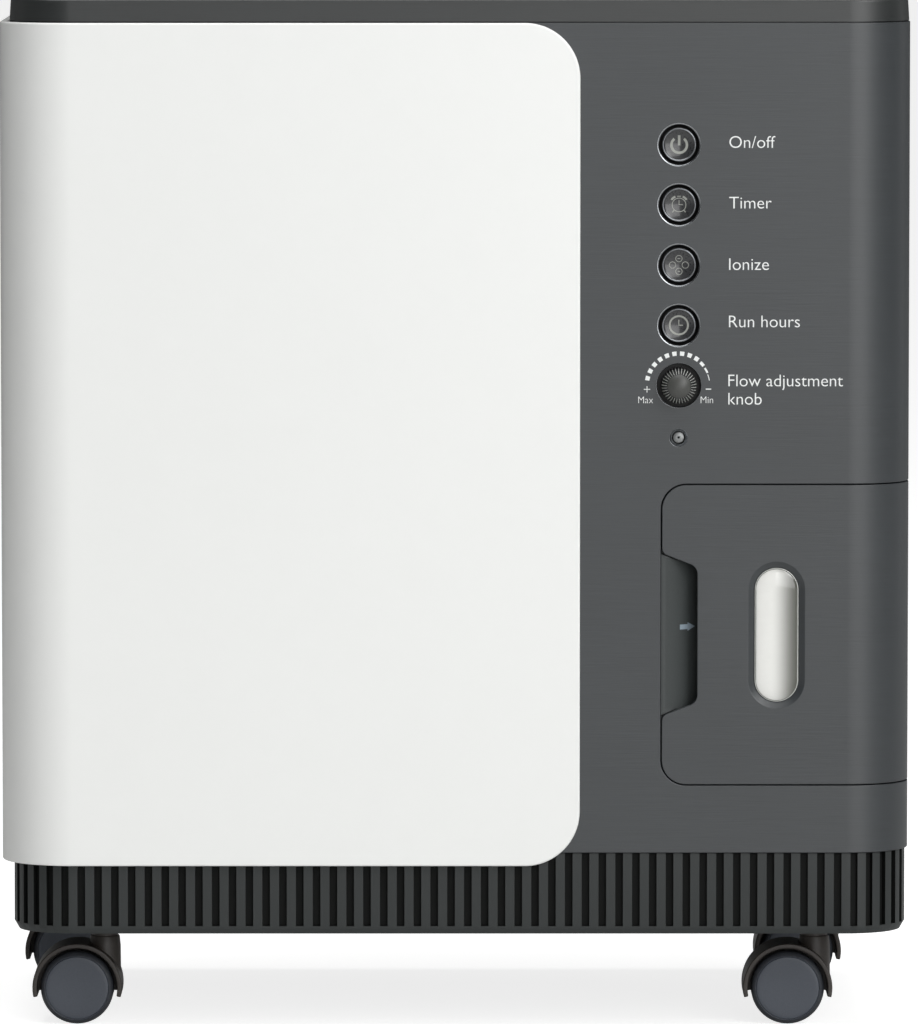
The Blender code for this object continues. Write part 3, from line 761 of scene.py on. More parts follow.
def draw_in(verts, distance):
    """Moves points of the body's outline inwards, square to it."""
    corner = settings("case").corner
    for vert in verts:
        core = Vector(
            (
                min(max(vert.co.x, LEFT + corner), RIGHT - corner),
                min(max(vert.co.y, FRONT + corner), REAR - corner),
                vert.co.z,
            )
        )
        vert.co -= (vert.co - core).normalized() * distance


def facing(shape, turn, at=(0, 0, 0)):
    """The shape turned, then moved to its place."""
    bmesh.ops.transform(shape, matrix=Matrix.Translation(at) @ turn, verts=shape.verts)
    return shape


def several(shapes):
    """Separate bodies in one shape."""
    joined = bmesh.new()
    for shape in shapes:
        mesh = bpy.data.meshes.new("share")
        shape.to_mesh(mesh)
        shape.free()
        joined.from_mesh(mesh)
        bpy.data.meshes.remove(mesh)
    return joined


def helper(shape, materials=3):
    """Short-lived object of a shape, for a Boolean."""
    mesh = bpy.data.meshes.new("helper")
    shape.to_mesh(mesh)
    shape.free()
    for number in range(materials):
        mesh.materials.append(
            bpy.data.materials.get(f"slot_{number}") or bpy.data.materials.new(f"slot_{number}")
        )
    made = bpy.data.objects.new("helper", mesh)
    bpy.context.scene.collection.objects.link(made)
    return made


def carved(shape, *tools, operation="DIFFERENCE"):
    """The shape after a Boolean with each tool, its faces' material numbers kept."""
    target = helper(shape)
    helpers = [helper(tool) for tool in tools]
    for tool in helpers:
        modifier = target.modifiers.new("tool", "BOOLEAN")
        modifier.operation = operation
        modifier.solver = "EXACT"
        modifier.object = tool
    bpy.context.view_layer.update()
    evaluated = target.evaluated_get(bpy.context.evaluated_depsgraph_get())
    result = bmesh.new()
    result.from_mesh(evaluated.to_mesh())
    evaluated.to_mesh_clear()
    for spent in [target, *helpers]:
        mesh = spent.data
        bpy.data.objects.remove(spent)
        bpy.data.meshes.remove(mesh)
    if not result.faces:
        raise RuntimeError("a Boolean left nothing")
    bmesh.ops.remove_doubles(result, verts=result.verts, dist=MERGE)
    return result


def softened(shape, width, segments=2, angle=40, where=None):
    """Edges sharper than the angle rounded over."""
    limit = math.radians(angle)
    edges = [
        edge
        for edge in shape.edges
        if edge.is_manifold and edge.calc_face_angle(0) > limit and (where is None or where(edge))
    ]
    bmesh.ops.bevel(
        shape,
        geom=edges,
        offset=width,
        offset_type="OFFSET",
        segments=segments,
        profile=0.5,
        affect="EDGES",
        material=-1,
        clamp_overlap=False,
    )
    return shape


def number_faces(shape, number, test):
    """Gives the faces that pass the test another material number."""
    for face in shape.faces:
        if test(face):
            face.material_index = number
    return shape


def piece(name, shape, materials, body="cabinet", replaces=(), sharp=32):
    """Finished object of a shape that already lies in its place."""
    mesh = bpy.data.meshes.new(name)
    shape.to_mesh(mesh)
    shape.free()
    for material in materials:
        mesh.materials.append(material)
    mesh.shade_smooth()
    mesh.set_sharp_from_angle(angle=math.radians(sharp))
    made = bpy.data.objects.new(name, mesh)
    bpy.context.scene.collection.objects.link(made)
    weighted = made.modifiers.new("weighted_normals", "WEIGHTED_NORMAL")
    weighted.keep_sharp = True
    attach(made, body)
    if replaces:
        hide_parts(*replaces)
    return made


# Casing


def door_face(grow):
    """The door's outline seen from the front, running on past the body's right side."""
    low = (DOOR_LOW.x - grow, DOOR_LOW.z - grow)
    high = (RIGHT + 0.04, DOOR_HIGH.z + grow)
    return plate(low, high, settings("door").corner + grow, 16, lambda place: place.x < RIGHT)


def control_well(radius, mouth, fillet, at, depth=0.006):
    """Cutter for a round well whose wall is painted dark as shade, with a bright rounded lip."""
    turns = [math.pi / 2 * step / 6 for step in range(7)]
    lip = [(mouth + fillet * (1 - math.cos(a)), -fillet * (1 - math.sin(a))) for a in turns]
    profile = [(0, -depth), (radius, -depth), (radius, -0.0024), (mouth, -0.0012), *lip]
    profile += [(mouth + fillet + 0.0002, 0.0004), (0, 0.0004)]
    shape = turned(profile)
    # The well's wall takes the black acetal as painted shade.
    number_faces(shape, WELL_PAINTED_SHADE, lambda face: face.calc_center_median().z < 0.0)
    number_faces(shape, WELL_LIP, lambda face: -fillet < face.calc_center_median().z < 0.0)
    return facing(shape, FRONTWARD, (at.x, FRONT, at.z))


def make_case():
    look = settings("case")
    shell = wall(0.0, WALL, BOTTOM, TOP, [((0, JOINT, 0), (0, 1, 0))])
    tools = [control_well(radius=0.0077, mouth=0.0088, fillet=0.0007, at=at) for at in BUTTONS.values()]
    tools.append(control_well(radius=0.0097, mouth=0.0097, fillet=0.0002, at=KNOB))
    tools.append(control_well(radius=0.00395, mouth=0.00395, fillet=0.0001, at=OUTLET))
    reach = -(HINGE.y + KNUCKLE_RADIUS + SEAM)
    opening = moved(raised(door_face(SEAM), 0.13 - reach), (0, 0, reach))
    shell = carved(shell, several(tools), facing(opening, FRONTWARD))
    softened(shell, look.edge, 3, 50, lambda edge: edge.verts[0].co.y > FRONT - MERGE and not near_well(edge))
    piece(
        "case_front",
        shell,
        [body_abs(), acetal_black_and_well_shade(), lip_chrome()],
        replaces=["front_shell"],
    )
    rear = wall(0.0, WALL, BOTTOM, TOP, [((0, JOINT + GAP, 0), (0, -1, 0))])
    piece(
        "case_rear",
        softened(carved(rear, rear_openings()), look.edge, 3, 50),
        [body_abs(), acetal_black_and_well_shade()],
        replaces=["rear_shell"],
    )


def near_well(edge):
    """True inside the control wells, whose mouths are rounded by their cutters."""
    place = (edge.verts[0].co + edge.verts[1].co) / 2
    wells = [(at, 0.0102) for at in (*BUTTONS.values(), KNOB)] + [(OUTLET, 0.005)]
    return place.y < FRONT + WALL + GAP and any(
        math.hypot(place.x - at.x, place.z - at.z) < radius for at, radius in wells
    )


def rear_openings():
    """Cutters for the filter recess, the inlet and the exhaust slots."""
    low = REAR - 2 * WALL
    filter_at = middle("filter_cover")
    inlet_at = middle("mains_inlet")
    tools = [
        facing(
            box((-0.054, -0.039, low), (0.054, 0.039, 0.13), 0.002), REARWARD, (filter_at.x, 0, filter_at.z)
        ),
        facing(
            box((-0.0138, -0.0103, low), (0.0138, 0.0103, 0.13), 0.002), REARWARD, (inlet_at.x, 0, inlet_at.z)
        ),
    ]
    for row in range(9):
        slot = box((-0.060, -0.0025, low), (0.060, 0.0025, 0.13), 0.00245)
        tools.append(facing(slot, REARWARD, (-0.065, 0, 0.0985 + 0.0105 * row)))
    return several(tools)


def make_front_panel():
    look = settings("case")
    thick = LEFT - GAP - PANEL_LOW.x
    limits = [((PANEL_HIGH.x, 0, 0), (1, 0, 0)), ((0, PANEL_HIGH.y, 0), (0, 1, 0))]
    panel = wall(GAP + thick, thick, PANEL_LOW.z, PANEL_HIGH.z, limits)
    face = plate((-0.3, PANEL_LOW.z), (PANEL_HIGH.x, PANEL_HIGH.z), look.panel_corner, 24, lambda v: v.x > 0)
    face_tool = facing(raised(face, 0.4), FRONTWARD, (0, 0.2, 0))
    side = plate(
        (-PANEL_HIGH.z, -0.3), (-PANEL_LOW.z, PANEL_HIGH.y), look.panel_corner, 24, lambda v: v.y > 0
    )
    side_tool = facing(raised(side, 0.4), Matrix.Rotation(math.pi / 2, 4, "Y"), (-0.3, 0, 0))
    panel = carved(panel, face_tool, side_tool, operation="INTERSECT")
    softened(panel, look.panel_edge, 4, 50)
    piece("front_panel_gloss", panel, [panel_abs()], replaces=["front_panel"])


COVER_FOOT = TOP + SEAM
COVER_INSET = 0.0004


def make_top_cover():
    look = settings("case")
    skirt = COVER_HIGH.z - look.cover_edge - COVER_FOOT
    cover = outset_plate(-COVER_INSET)
    raised(cover, MERGE * 100)
    drawn_on(cover, [(0.0005, skirt - MERGE * 100), *quarter(look.cover_edge)])
    lip = WALL + GAP - COVER_INSET
    drawn_on(cover, [(lip, 0.0), (0, COVER_LOW.z - COVER_FOOT), (0.002, 0.0), (0, 0.0125)], upper=False)
    moved(cover, (0, 0, COVER_FOOT))
    piece("cover_plate", cover, [cover_abs()], replaces=["top_cover"], sharp=40)


# Base


def ribbed_ring():
    """Open ring of upright faces round the base, split where each groove starts and ends."""
    look = settings("base")
    ring = outset_plate(-BASE_INSET, RIBS_PER_CORNER * PERIOD_STEPS)
    bmesh.ops.delete(ring, geom=ring.faces[:], context="FACES_ONLY")
    for axis, (start, end) in enumerate(straight_runs()):
        count = round((end - start) / look.rib_pitch)
        pitch = (end - start) / count
        for number in range(count):
            for side in (-1, 1):
                place = start + (number + 0.5 + side * GROOVE_SHARE / 2) * pitch
                point = Vector((0, 0, 0))
                normal = Vector((0, 0, 0))
                point[axis] = place
                normal[axis] = 1
                bmesh.ops.bisect_plane(
                    ring, geom=ring.verts[:] + ring.edges[:], dist=MERGE, plane_co=point, plane_no=normal
                )
    return ring


def straight_runs():
    corner = settings("case").corner
    return (LEFT + corner, RIGHT - corner), (FRONT + corner, REAR - corner)


def in_groove(place):
    """True where the base's outline runs in a groove."""
    for axis, (start, end) in enumerate(straight_runs()):
        if start < place[axis] < end:
            count = round((end - start) / settings("base").rib_pitch)
            return abs((place[axis] - start) / (end - start) * count % 1 - 0.5) < GROOVE_SHARE / 2
    (left, right), (front, rear) = straight_runs()
    over_x = abs(place.x - (right if place.x > 0 else left))
    over_y = abs(place.y - (rear if place.y > 0 else front))
    turn = math.atan2(over_y, over_x)
    return abs(turn / (math.pi / 2) * RIBS_PER_CORNER % 1 - 0.5) < GROOVE_SHARE / 2


def make_base():
    look = settings("base")
    ring = ribbed_ring()
    strip_top = BASE_LOW.z + look.chamfer_height
    moved(ring, (0, 0, strip_top))
    lower = ring.edges[:]
    made = bmesh.ops.extrude_edge_only(ring, edges=lower)["geom"]
    bmesh.ops.translate(ring, vec=(0, 0, BASE_TOP - strip_top), verts=only(bmesh.types.BMVert, made))
    upper = only(bmesh.types.BMEdge, made)
    grooves = [face for face in ring.faces if in_groove(face.calc_center_median())]
    strip = bmesh.ops.extrude_edge_only(ring, edges=lower)["geom"]
    strip_verts = only(bmesh.types.BMVert, strip)
    bmesh.ops.translate(ring, vec=(0, 0, BASE_LOW.z - strip_top), verts=strip_verts)
    draw_in(strip_verts, 0.002)
    bmesh.ops.contextual_create(ring, geom=only(bmesh.types.BMEdge, strip))
    upper = [edge for edge in upper if all(abs(vert.co.z - BASE_TOP) < MERGE for vert in edge.verts)]
    for inset, level in ((0.0049, BASE_TOP), (0.0, 0.047)):
        made = bmesh.ops.extrude_edge_only(ring, edges=upper)["geom"]
        verts = only(bmesh.types.BMVert, made)
        draw_in(verts, inset)
        for vert in verts:
            vert.co.z = level
        upper = [edge for edge in only(bmesh.types.BMEdge, made) if set(edge.verts) <= set(verts)]
    bmesh.ops.contextual_create(ring, geom=upper)
    bmesh.ops.recalc_face_normals(ring, faces=ring.faces)
    bmesh.ops.inset_region(
        ring, faces=grooves, thickness=0.00012, depth=-look.groove_depth, use_even_offset=True
    )
    # Faces inside the outline, in the grooves, take the darker colour as painted shade.
    for face in ring.faces:
        place = face.calc_center_median()
        upright = strip_top < place.z < BASE_TOP - MERGE
        if upright and MERGE * 20 < depth_in(place) < 0.003:
            face.material_index = 1
    base = carved(ring, several([*vent_cutters(), *stem_cutters()]))
    piece("base_ribbed", base, [rib_abs(), groove_painted_shade()], replaces=["base_tray"], sharp=30)


def vent_cutters():
    """Cutters for the row of slots under the base that the air leaves by."""
    slots = []
    for number in range(8):
        left = -0.105 + 0.018 * number
        right = -0.099 + 0.018 * number
        slot = raised(plate((left, 0.060), (right, 0.098), 0.0029, 8), 0.02)
        slots.append(moved(slot, (0, 0, 0.035)))
    return slots


def stem_cutters():
    """Cutters for the four holes that the casters' stems stand in."""
    radius = 0.0053
    profile = [(0, 0), (radius, 0), (radius, 0.03), (0, 0.03)]
    return [moved(turned(profile, 32), (at[0], at[1], 0.035)) for at in SWIVELS.values()]


def depth_in(place):
    """How far a place lies inside the base's outline."""
    (left, right), (front, rear) = straight_runs()
    over_x = max(left - place.x, place.x - right, 0)
    over_y = max(front - place.y, place.y - rear, 0)
    return settings("case").corner - BASE_INSET - math.hypot(over_x, over_y)


# Controls


def cap_level(radius):
    """Level of a button's dished face at a radius."""
    look = settings("controls")
    inner = look.cap_radius - 0.0007
    return -0.00075 - look.dish_depth * (1 - min(radius / inner, 1) ** 2)


def make_buttons():
    look = settings("controls")
    outer = look.cap_radius
    face = [(outer - 0.0007) * step / 10 for step in range(11)]
    profile = [(radius, cap_level(radius)) for radius in face]
    profile += [
        (outer - 0.00060, -0.00056),
        (outer - 0.00040, -0.00045),
        (outer - 0.00018, -0.00052),
        (outer - 0.00004, -0.00075),
        (outer, -0.0011),
        (outer, -0.0033),
        (0.0084, -0.0033),
        (0.0084, -0.0043),
        (0.0025, -0.0043),
        (0.0025, -0.0097),
        (0, -0.0097),
    ]
    marks = {"power": power_mark, "timer": alarm_mark, "ion": ion_mark, "hours": clock_mark}
    for name, at in BUTTONS.items():
        cap = turned(profile)
        rim = outer - 0.00065
        foot = -0.00092
        # The cap's side down in the well is painted black as shade.
        number_faces(cap, 2, lambda face: face.calc_center_median().z < foot and ring_radius(face) > rim)
        number_faces(cap, 1, lambda face: face.calc_center_median().z > foot and ring_radius(face) > rim)
        facing(cap, FRONTWARD, (at.x, FRONT, at.z))
        materials = [cap_polycarbonate(), rim_metal(), acetal_black_and_well_shade()]
        piece(f"{name}_cap", cap, materials, f"{name}_key", [f"{name}_button"], 50)
        mark = marks[name]()
        for vert in mark.verts:
            vert.co.z = cap_level(math.hypot(vert.co.x, vert.co.y)) + 0.00004
        facing(mark, FRONTWARD, (at.x, FRONT, at.z))
        piece(f"{name}_mark", mark, [ink_gray()], f"{name}_key")


def ring_radius(face):
    return max(math.hypot(vert.co.x, vert.co.y) for vert in face.verts)


def flat_ring(center, radius, width, start=0.0, turn=360.0, steps=36):
    """Flat band round a centre, from a start angle, in degrees."""
    shape = bmesh.new()
    inner = shape.verts.new((radius - width / 2, 0, 0))
    outer = shape.verts.new((radius + width / 2, 0, 0))
    edge = shape.edges.new((inner, outer))
    bmesh.ops.spin(
        shape,
        geom=[inner, outer, edge],
        cent=(0, 0, 0),
        axis=(0, 0, 1),
        angle=math.radians(turn),
        steps=steps,
        use_merge=turn == 360.0,
    )
    bmesh.ops.rotate(
        shape, cent=(0, 0, 0), matrix=Matrix.Rotation(math.radians(start), 3, "Z"), verts=shape.verts
    )
    bmesh.ops.remove_doubles(shape, verts=shape.verts, dist=MERGE)
    return upward(moved(shape, (*center, 0)))


def upward(shape):
    """All flat faces turned to face up."""
    bmesh.ops.recalc_face_normals(shape, faces=shape.faces)
    down = [face for face in shape.faces if face.normal.z < 0]
    bmesh.ops.reverse_faces(shape, faces=down)
    return shape


def bar(start, end, width, steps=6):
    """Flat bar between two places, in steps so that it can follow a curved face."""
    shape = bmesh.new()
    bmesh.ops.create_grid(shape, x_segments=steps, y_segments=1, size=0.5)
    reach = math.dist(start, end)
    bmesh.ops.scale(shape, vec=(reach, width, 1), verts=shape.verts)
    turn = Matrix.Rotation(math.atan2(end[1] - start[1], end[0] - start[0]), 4, "Z")
    place = ((start[0] + end[0]) / 2, (start[1] + end[1]) / 2, 0)
    return upward(facing(shape, turn, place))


def power_mark():
    return several(
        [flat_ring((0, -0.0002), 0.0034, 0.0011, 128, 284), bar((0, -0.0004), (0, 0.0041), 0.0011)]
    )


def alarm_mark():
    shapes = [
        flat_ring((0, -0.0001), 0.0030, 0.00032),
        bar((0, 0.0), (0, 0.0021), 0.0003),
        bar((-0.0001, 0.0), (0.0017, 0.0), 0.0003),
        bar((-0.0008, 0.0037), (0.0008, 0.0037), 0.00035),
        flat_ring((0, -0.0001), 0.0040, 0.0009, 34, 32, 8),
        flat_ring((0, -0.0001), 0.0040, 0.0009, 114, 32, 8),
        bar((-0.0021, -0.0024), (-0.0029, -0.0033), 0.0004),
        bar((0.0021, -0.0024), (0.0029, -0.0033), 0.0004),
    ]
    return several(shapes)


def ion_mark():
    ring = 0.0014
    reach = 0.0028
    centers = ((0, reach), (0, -reach), (reach, 0), (-reach, 0))
    shapes = [flat_ring(center, ring, 0.00028, steps=24) for center in centers]
    shapes += [bar((-0.0006, level), (0.0006, level), 0.0003) for level in (reach, -reach)]
    return several(shapes)


def clock_mark():
    hands = [bar((0, -0.0001), (0, 0.0024), 0.0004), bar((-0.0002, 0.0), (0.0018, 0.0), 0.0004)]
    return several([flat_ring((0, 0), 0.0040, 0.0008), *hands])


def ridged(layers, ridges):
    """Turned body through layers of (radius, level, ridge height), drawn from the back to the front."""
    shape = bmesh.new()
    count = ridges * 4
    bmesh.ops.create_circle(shape, segments=count, radius=1.0, cap_ends=False)
    edges = shape.edges[:]
    verts = shape.verts[:]
    for number, (radius, level, ridge) in enumerate(layers):
        if number:
            made = bmesh.ops.extrude_edge_only(shape, edges=edges)["geom"]
            verts = only(bmesh.types.BMVert, made)
            edges = [edge for edge in only(bmesh.types.BMEdge, made) if set(edge.verts) <= set(verts)]
        for vert in verts:
            turn = math.atan2(vert.co.y, vert.co.x)
            step = round(turn / (2 * math.pi) * count) % 4
            reach = radius - (ridge if step in (0, 1) else 0.0)
            vert.co = (reach * math.cos(turn), reach * math.sin(turn), level)
    bmesh.ops.pointmerge(shape, verts=verts, merge_co=(0, 0, layers[-1][1]))
    return shape


def make_knob():
    look = settings("controls")
    ridge = look.ridge_height
    radius = 0.0077
    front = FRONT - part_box("flow_knob")[0].y
    layers = [
        (0.0023, -0.0030, 0),
        (0.0023, -0.0055, 0),
        (radius - 0.0008, -0.0055, 0),
        (radius, -0.0047, ridge),
        (radius, front - 0.0052, ridge),
        (radius - 0.0004, front - 0.0042, ridge),
        (radius - 0.0012, front - 0.0030, ridge),
        (radius - 0.0020, front - 0.0022, ridge),
        (radius - 0.0024, front - 0.0020, ridge * 0.3),
        (radius - 0.0026, front - 0.00185, 0),
        (radius - 0.0033, front - 0.00125, 0),
        (radius - 0.0042, front - 0.00072, 0),
        (radius - 0.0052, front - 0.00032, 0),
        (radius - 0.0063, front - 0.00008, 0),
        (0.0004, front, 0),
    ]
    knob = ridged(layers, look.knob_ridges)
    bottom = [edge for edge in knob.edges if edge.is_boundary]
    bmesh.ops.contextual_create(knob, geom=bottom)
    outward(knob)
    # The crests' pale colour is a painted highlight.
    number_faces(knob, 1, lambda face: on_crest(face, look.knob_ridges))
    number_faces(knob, 2, lambda face: ring_radius(face) < radius - 0.0024 and face.normal.z > 0.5)
    facing(knob, FRONTWARD, (KNOB.x, FRONT, KNOB.z))
    materials = [knob_nylon(), knob_crest_painted_highlight(), knob_face()]
    piece("flow_knob_ridged", knob, materials, "flow_control", ["flow_knob"], 28)


def on_crest(face, ridges):
    """True on the crests of the flow knob's ridges, which are painted pale as a highlight."""
    place = face.calc_center_median()
    step = math.atan2(place.y, place.x) / (2 * math.pi) * ridges * 4 % 4
    return 2.0 < step < 3.0 and ring_radius(face) > 0.0055 and face.normal.z > 0.02


def make_outlet():
    profile = [
        (0.0004, -0.0190),
        (0.0004, -0.0020),
        (0.0006, -0.0018),
        (0.0021, -0.0018),
        (0.0024, -0.0020),
        (0.0024, -0.0042),
        (0.0028, -0.0044),
        (0.0028, -0.0016),
        (0.0031, -0.0012),
        (0.0038, -0.0004),
        (0.00388, -0.0003),
        (0.00388, -0.0031),
        (0.0060, -0.0031),
        (0.0060, -0.0059),
        (0.0022, -0.0059),
        (0.0022, -0.0190),
    ]
    nozzle = turned(profile, 56, closed=True)
    number_faces(nozzle, 1, lambda face: ring_radius(face) > 0.0027)
    # The spigot's deep end in its well is painted black as shade.
    number_faces(nozzle, 2, lambda face: face.calc_center_median().z < -0.0021)
    facing(nozzle, FRONTWARD, (OUTLET.x, FRONT, OUTLET.z))
    piece(
        "outlet_spigot",
        nozzle,
        [spigot_steel(), lip_chrome(), acetal_black_and_well_shade()],
        replaces=["outlet_nozzle"],
        sharp=40,
    )


# Printing


def lettering(words, size, at, widen=1.0):
    """Flat letters as a shape, their left edge and baseline at the place."""
    curve = bpy.data.curves.new("words", "FONT")
    curve.body = words
    curve.size = size
    curve.resolution_u = 6
    curve.offset = -0.00006
    made = bpy.data.objects.new("words", curve)
    bpy.context.scene.collection.objects.link(made)
    bpy.context.view_layer.update()
    evaluated = made.evaluated_get(bpy.context.evaluated_depsgraph_get())
    shape = bmesh.new()
    shape.from_mesh(evaluated.to_mesh())
    evaluated.to_mesh_clear()
    bpy.data.objects.remove(made)
    bpy.data.curves.remove(curve)
    bmesh.ops.scale(shape, vec=(widen, 1, 1), verts=shape.verts)
    left = min(vert.co.x for vert in shape.verts)
    return moved(shape, (at[0] - left, at[1], 0))


LABELS = (
    ("On/off", 0.1199, 0.3900),
    ("Timer", 0.1199, 0.3635),
    ("Ionize", 0.1199, 0.3366),
    ("Run hours", 0.1199, 0.3115),
    ("Flow adjustment", 0.1197, 0.2856),
    ("knob", 0.1197, 0.2776),
)
LABEL_SIZE = 0.0076
SMALL_SIZE = 0.0044
SCALE_START = 167.0
SCALE_END = 15.0
DASHES = 12


def flow_scale():
    """Dashes round the knob, thick at the greatest flow and thin at the least."""
    radius = settings("controls").scale_radius
    shapes = []
    for number in range(DASHES):
        turn = SCALE_START + (SCALE_END - SCALE_START) * number / (DASHES - 1)
        taper = max(number - (DASHES - 4), 0)
        width = 0.0019 - 0.00052 * taper
        reach = 0.0019 + 0.0003 * taper
        span = math.degrees(reach / radius)
        center = (KNOB.x, KNOB.z)
        shapes.append(flat_ring(center, radius - 0.00015 * taper, width, turn - span / 2, span, 3))
    return shapes


def make_printing():
    shapes = [lettering(words, LABEL_SIZE, (x, z)) for words, x, z in LABELS]
    for words, left in (("Max", 0.0803), ("Min", 0.1076)):
        shapes.append(lettering(words, SMALL_SIZE, (left, 0.2782), 0.92))
    shapes += flow_scale()
    plus = (0.0841, 0.2843)
    minus = (0.1110, 0.2844)
    shapes.append(bar((plus[0] - 0.0014, plus[1]), (plus[0] + 0.0014, plus[1]), 0.00032))
    shapes.append(bar((plus[0], plus[1] - 0.0014), (plus[0], plus[1] + 0.0014), 0.00032))
    shapes.append(bar((minus[0] - 0.0012, minus[1]), (minus[0] + 0.0012, minus[1]), 0.00045))
    print_sheet = several(shapes)
    facing(print_sheet, FRONTWARD, (0, FRONT - 0.00004, 0))
    piece("function_printing", print_sheet, [ink_white()])


# Humidifier compartment


NOTCH_Z = middle("humidifier_door").z + 0.0001
MOUTH_HALF = 0.0358


def notch(grow, low, high):
    """Block of the finger notch's outline, seen from the front, from one level to the other."""
    look = settings("door")
    right = look.notch_right - grow
    shape = bmesh.new()
    places = [
        (0.078, 0.0407 - grow), (0.078, -0.0407 + grow), (right, -0.0298 + grow), (right, 0.0298 - grow)
    ]
    shape.faces.new([shape.verts.new((x, y, 0)) for x, y in places])
    tips = [vert for vert in shape.verts if vert.co.x > 0.09]
    bmesh.ops.bevel(
        shape,
        geom=tips,
        offset=0.0030,
        offset_type="OFFSET",
        segments=8,
        profile=0.5,
        affect="VERTICES",
        material=-1,
    )
    return moved(facing(moved(raised(shape, high - low), (0, 0, low)), FRONTWARD), (0, 0, NOTCH_Z))


def pin_bore(foot):
    """Cutter for the hinge pin's hole, from its foot up."""
    radius = 0.0011
    profile = [(0, 0), (radius, 0), (radius, 0.2), (0, 0.2)]
    return facing(turned(profile, 24), UPRIGHT, (HINGE.x, HINGE.y, foot))


def make_door():
    limits = [((DOOR_LOW.x, 0, 0), (-1, 0, 0)), ((0, HINGE.y, 0), (0, 1, 0))]
    door = wall(0.0, WALL, DOOR_LOW.z, DOOR_HIGH.z, limits)
    tall = DOOR_HIGH.z - DOOR_LOW.z
    knuckle = turned([(0, 0), (KNUCKLE_RADIUS, 0), (KNUCKLE_RADIUS, tall), (0, tall)], 40)
    door = carved(door, facing(knuckle, UPRIGHT, (HINGE.x, HINGE.y, DOOR_LOW.z)), operation="UNION")
    outline = facing(raised(door_face(0.0), 0.15), FRONTWARD)
    door = carved(door, outline, operation="INTERSECT")
    door = carved(door, notch(0.0, 0.09, 0.13), pin_bore(0.1), window_recess())
    bmesh.ops.bevel(
        door,
        geom=[edge for edge in door.edges if at_mouth(edge)],
        offset=0.0022,
        offset_type="OFFSET",
        segments=5,
        profile=0.5,
        affect="EDGES",
        material=-1,
        clamp_overlap=False,
    )
    softened(door, settings("case").edge, 3, 50, lambda edge: not near_window(edge))
    piece("door_shell", door, [body_abs(), acetal_black_and_well_shade()], "bay_door", ["humidifier_door"])
    make_window()


def at_mouth(edge):
    """True on the two level edges where the finger notch opens through the door's left side."""
    start, end = (vert.co for vert in edge.verts)
    on_side = max(abs(start.x - DOOR_LOW.x), abs(end.x - DOOR_LOW.x)) < 1e-5
    above = abs(start.z - middle("humidifier_door").z)
    return on_side and abs(start.z - end.z) < 1e-5 and abs(above - MOUTH_HALF) < 0.0025


def near_window(edge):
    look = settings("door")
    place = (edge.verts[0].co + edge.verts[1].co) / 2
    inside_x = abs(place.x - WINDOW.x) < look.window_width / 2 + look.bevel + 0.001
    return inside_x and abs(place.z - WINDOW.z) < look.window_height / 2 + look.bevel + 0.001


def window_recess():
    """Cutter for the window: a sloped recess, then a straight opening."""
    look = settings("door")
    width = look.window_width + 0.0006
    height = look.window_height + 0.0006
    slope = look.bevel
    shape = raised(pill(width + 2 * slope, height + 2 * slope), 0.002)
    steps = [(0.06 * slope, -0.00003), (0.10 * slope, -0.00012), (0.84 * slope, -0.0015), (0, -0.006)]
    drawn_on(shape, steps, upper=False)
    return facing(shape, FRONTWARD, (WINDOW.x, FRONT, WINDOW.z))


def make_window():
    look = settings("door")
    pane = raised(pill(look.window_width, look.window_height), 0.0013)
    rim = [(0.00012, 0.00020), (0.00022, 0.00005), (0.00008, -0.00022), (0.00022, 0.0), (0.00006, 0.00016)]
    crown = [(0.0008, 0.00030), (0.0014, 0.00034), (0.0020, 0.00024), (0.0022, 0.00010), (0.0018, 0.00003)]
    drawn_on(pane, rim + crown)
    inside = look.window_width / 2
    number_faces(pane, 1, lambda face: pill_depth(face, inside) < 0.00036)
    # The groove inside the bead is painted grey as shade.
    number_faces(pane, 2, lambda face: 0.00036 <= pill_depth(face, inside) < 0.00068)
    facing(pane, FRONTWARD, (WINDOW.x, FRONT + 0.0031, WINDOW.z))
    flange = raised(pill(0.0235, 0.0635), 0.0011)
    facing(flange, FRONTWARD, (WINDOW.x, FRONT + 0.00425, WINDOW.z))
    materials = [window_opal_painted_shade(), window_bead(), window_groove_painted_shade()]
    piece("window_pane", pane, materials, "bay_door", ["door_window"], 60)
    piece("window_flange", flange, [liner_polypropylene()], "bay_door")


def pill_depth(face, half_width):
    """How far a face's middle lies inside the window's outline."""
    place = face.calc_center_median()
    straight = settings("door").window_height / 2 - half_width
    return half_width - math.hypot(place.x, max(abs(place.y) - straight, 0))


SCOOP_RAMP = (
    (0.0902, -0.1116),
    (0.0925, -0.1106),
    (0.0965, -0.1086),
    (0.1005, -0.1056),
    (0.1045, -0.1024),
    (0.1085, -0.1004),
    (0.1125, -0.0996),
)
SCOOP_HALF = 0.0375


def ramp_level(x):
    """Depth of the scoop's ramp at a place across it."""
    for (x0, y0), (x1, y1) in zip(SCOOP_RAMP, SCOOP_RAMP[1:]):
        if x <= x1:
            return y0 + (y1 - y0) * (x - x0) / (x1 - x0)
    return SCOOP_RAMP[-1][1]


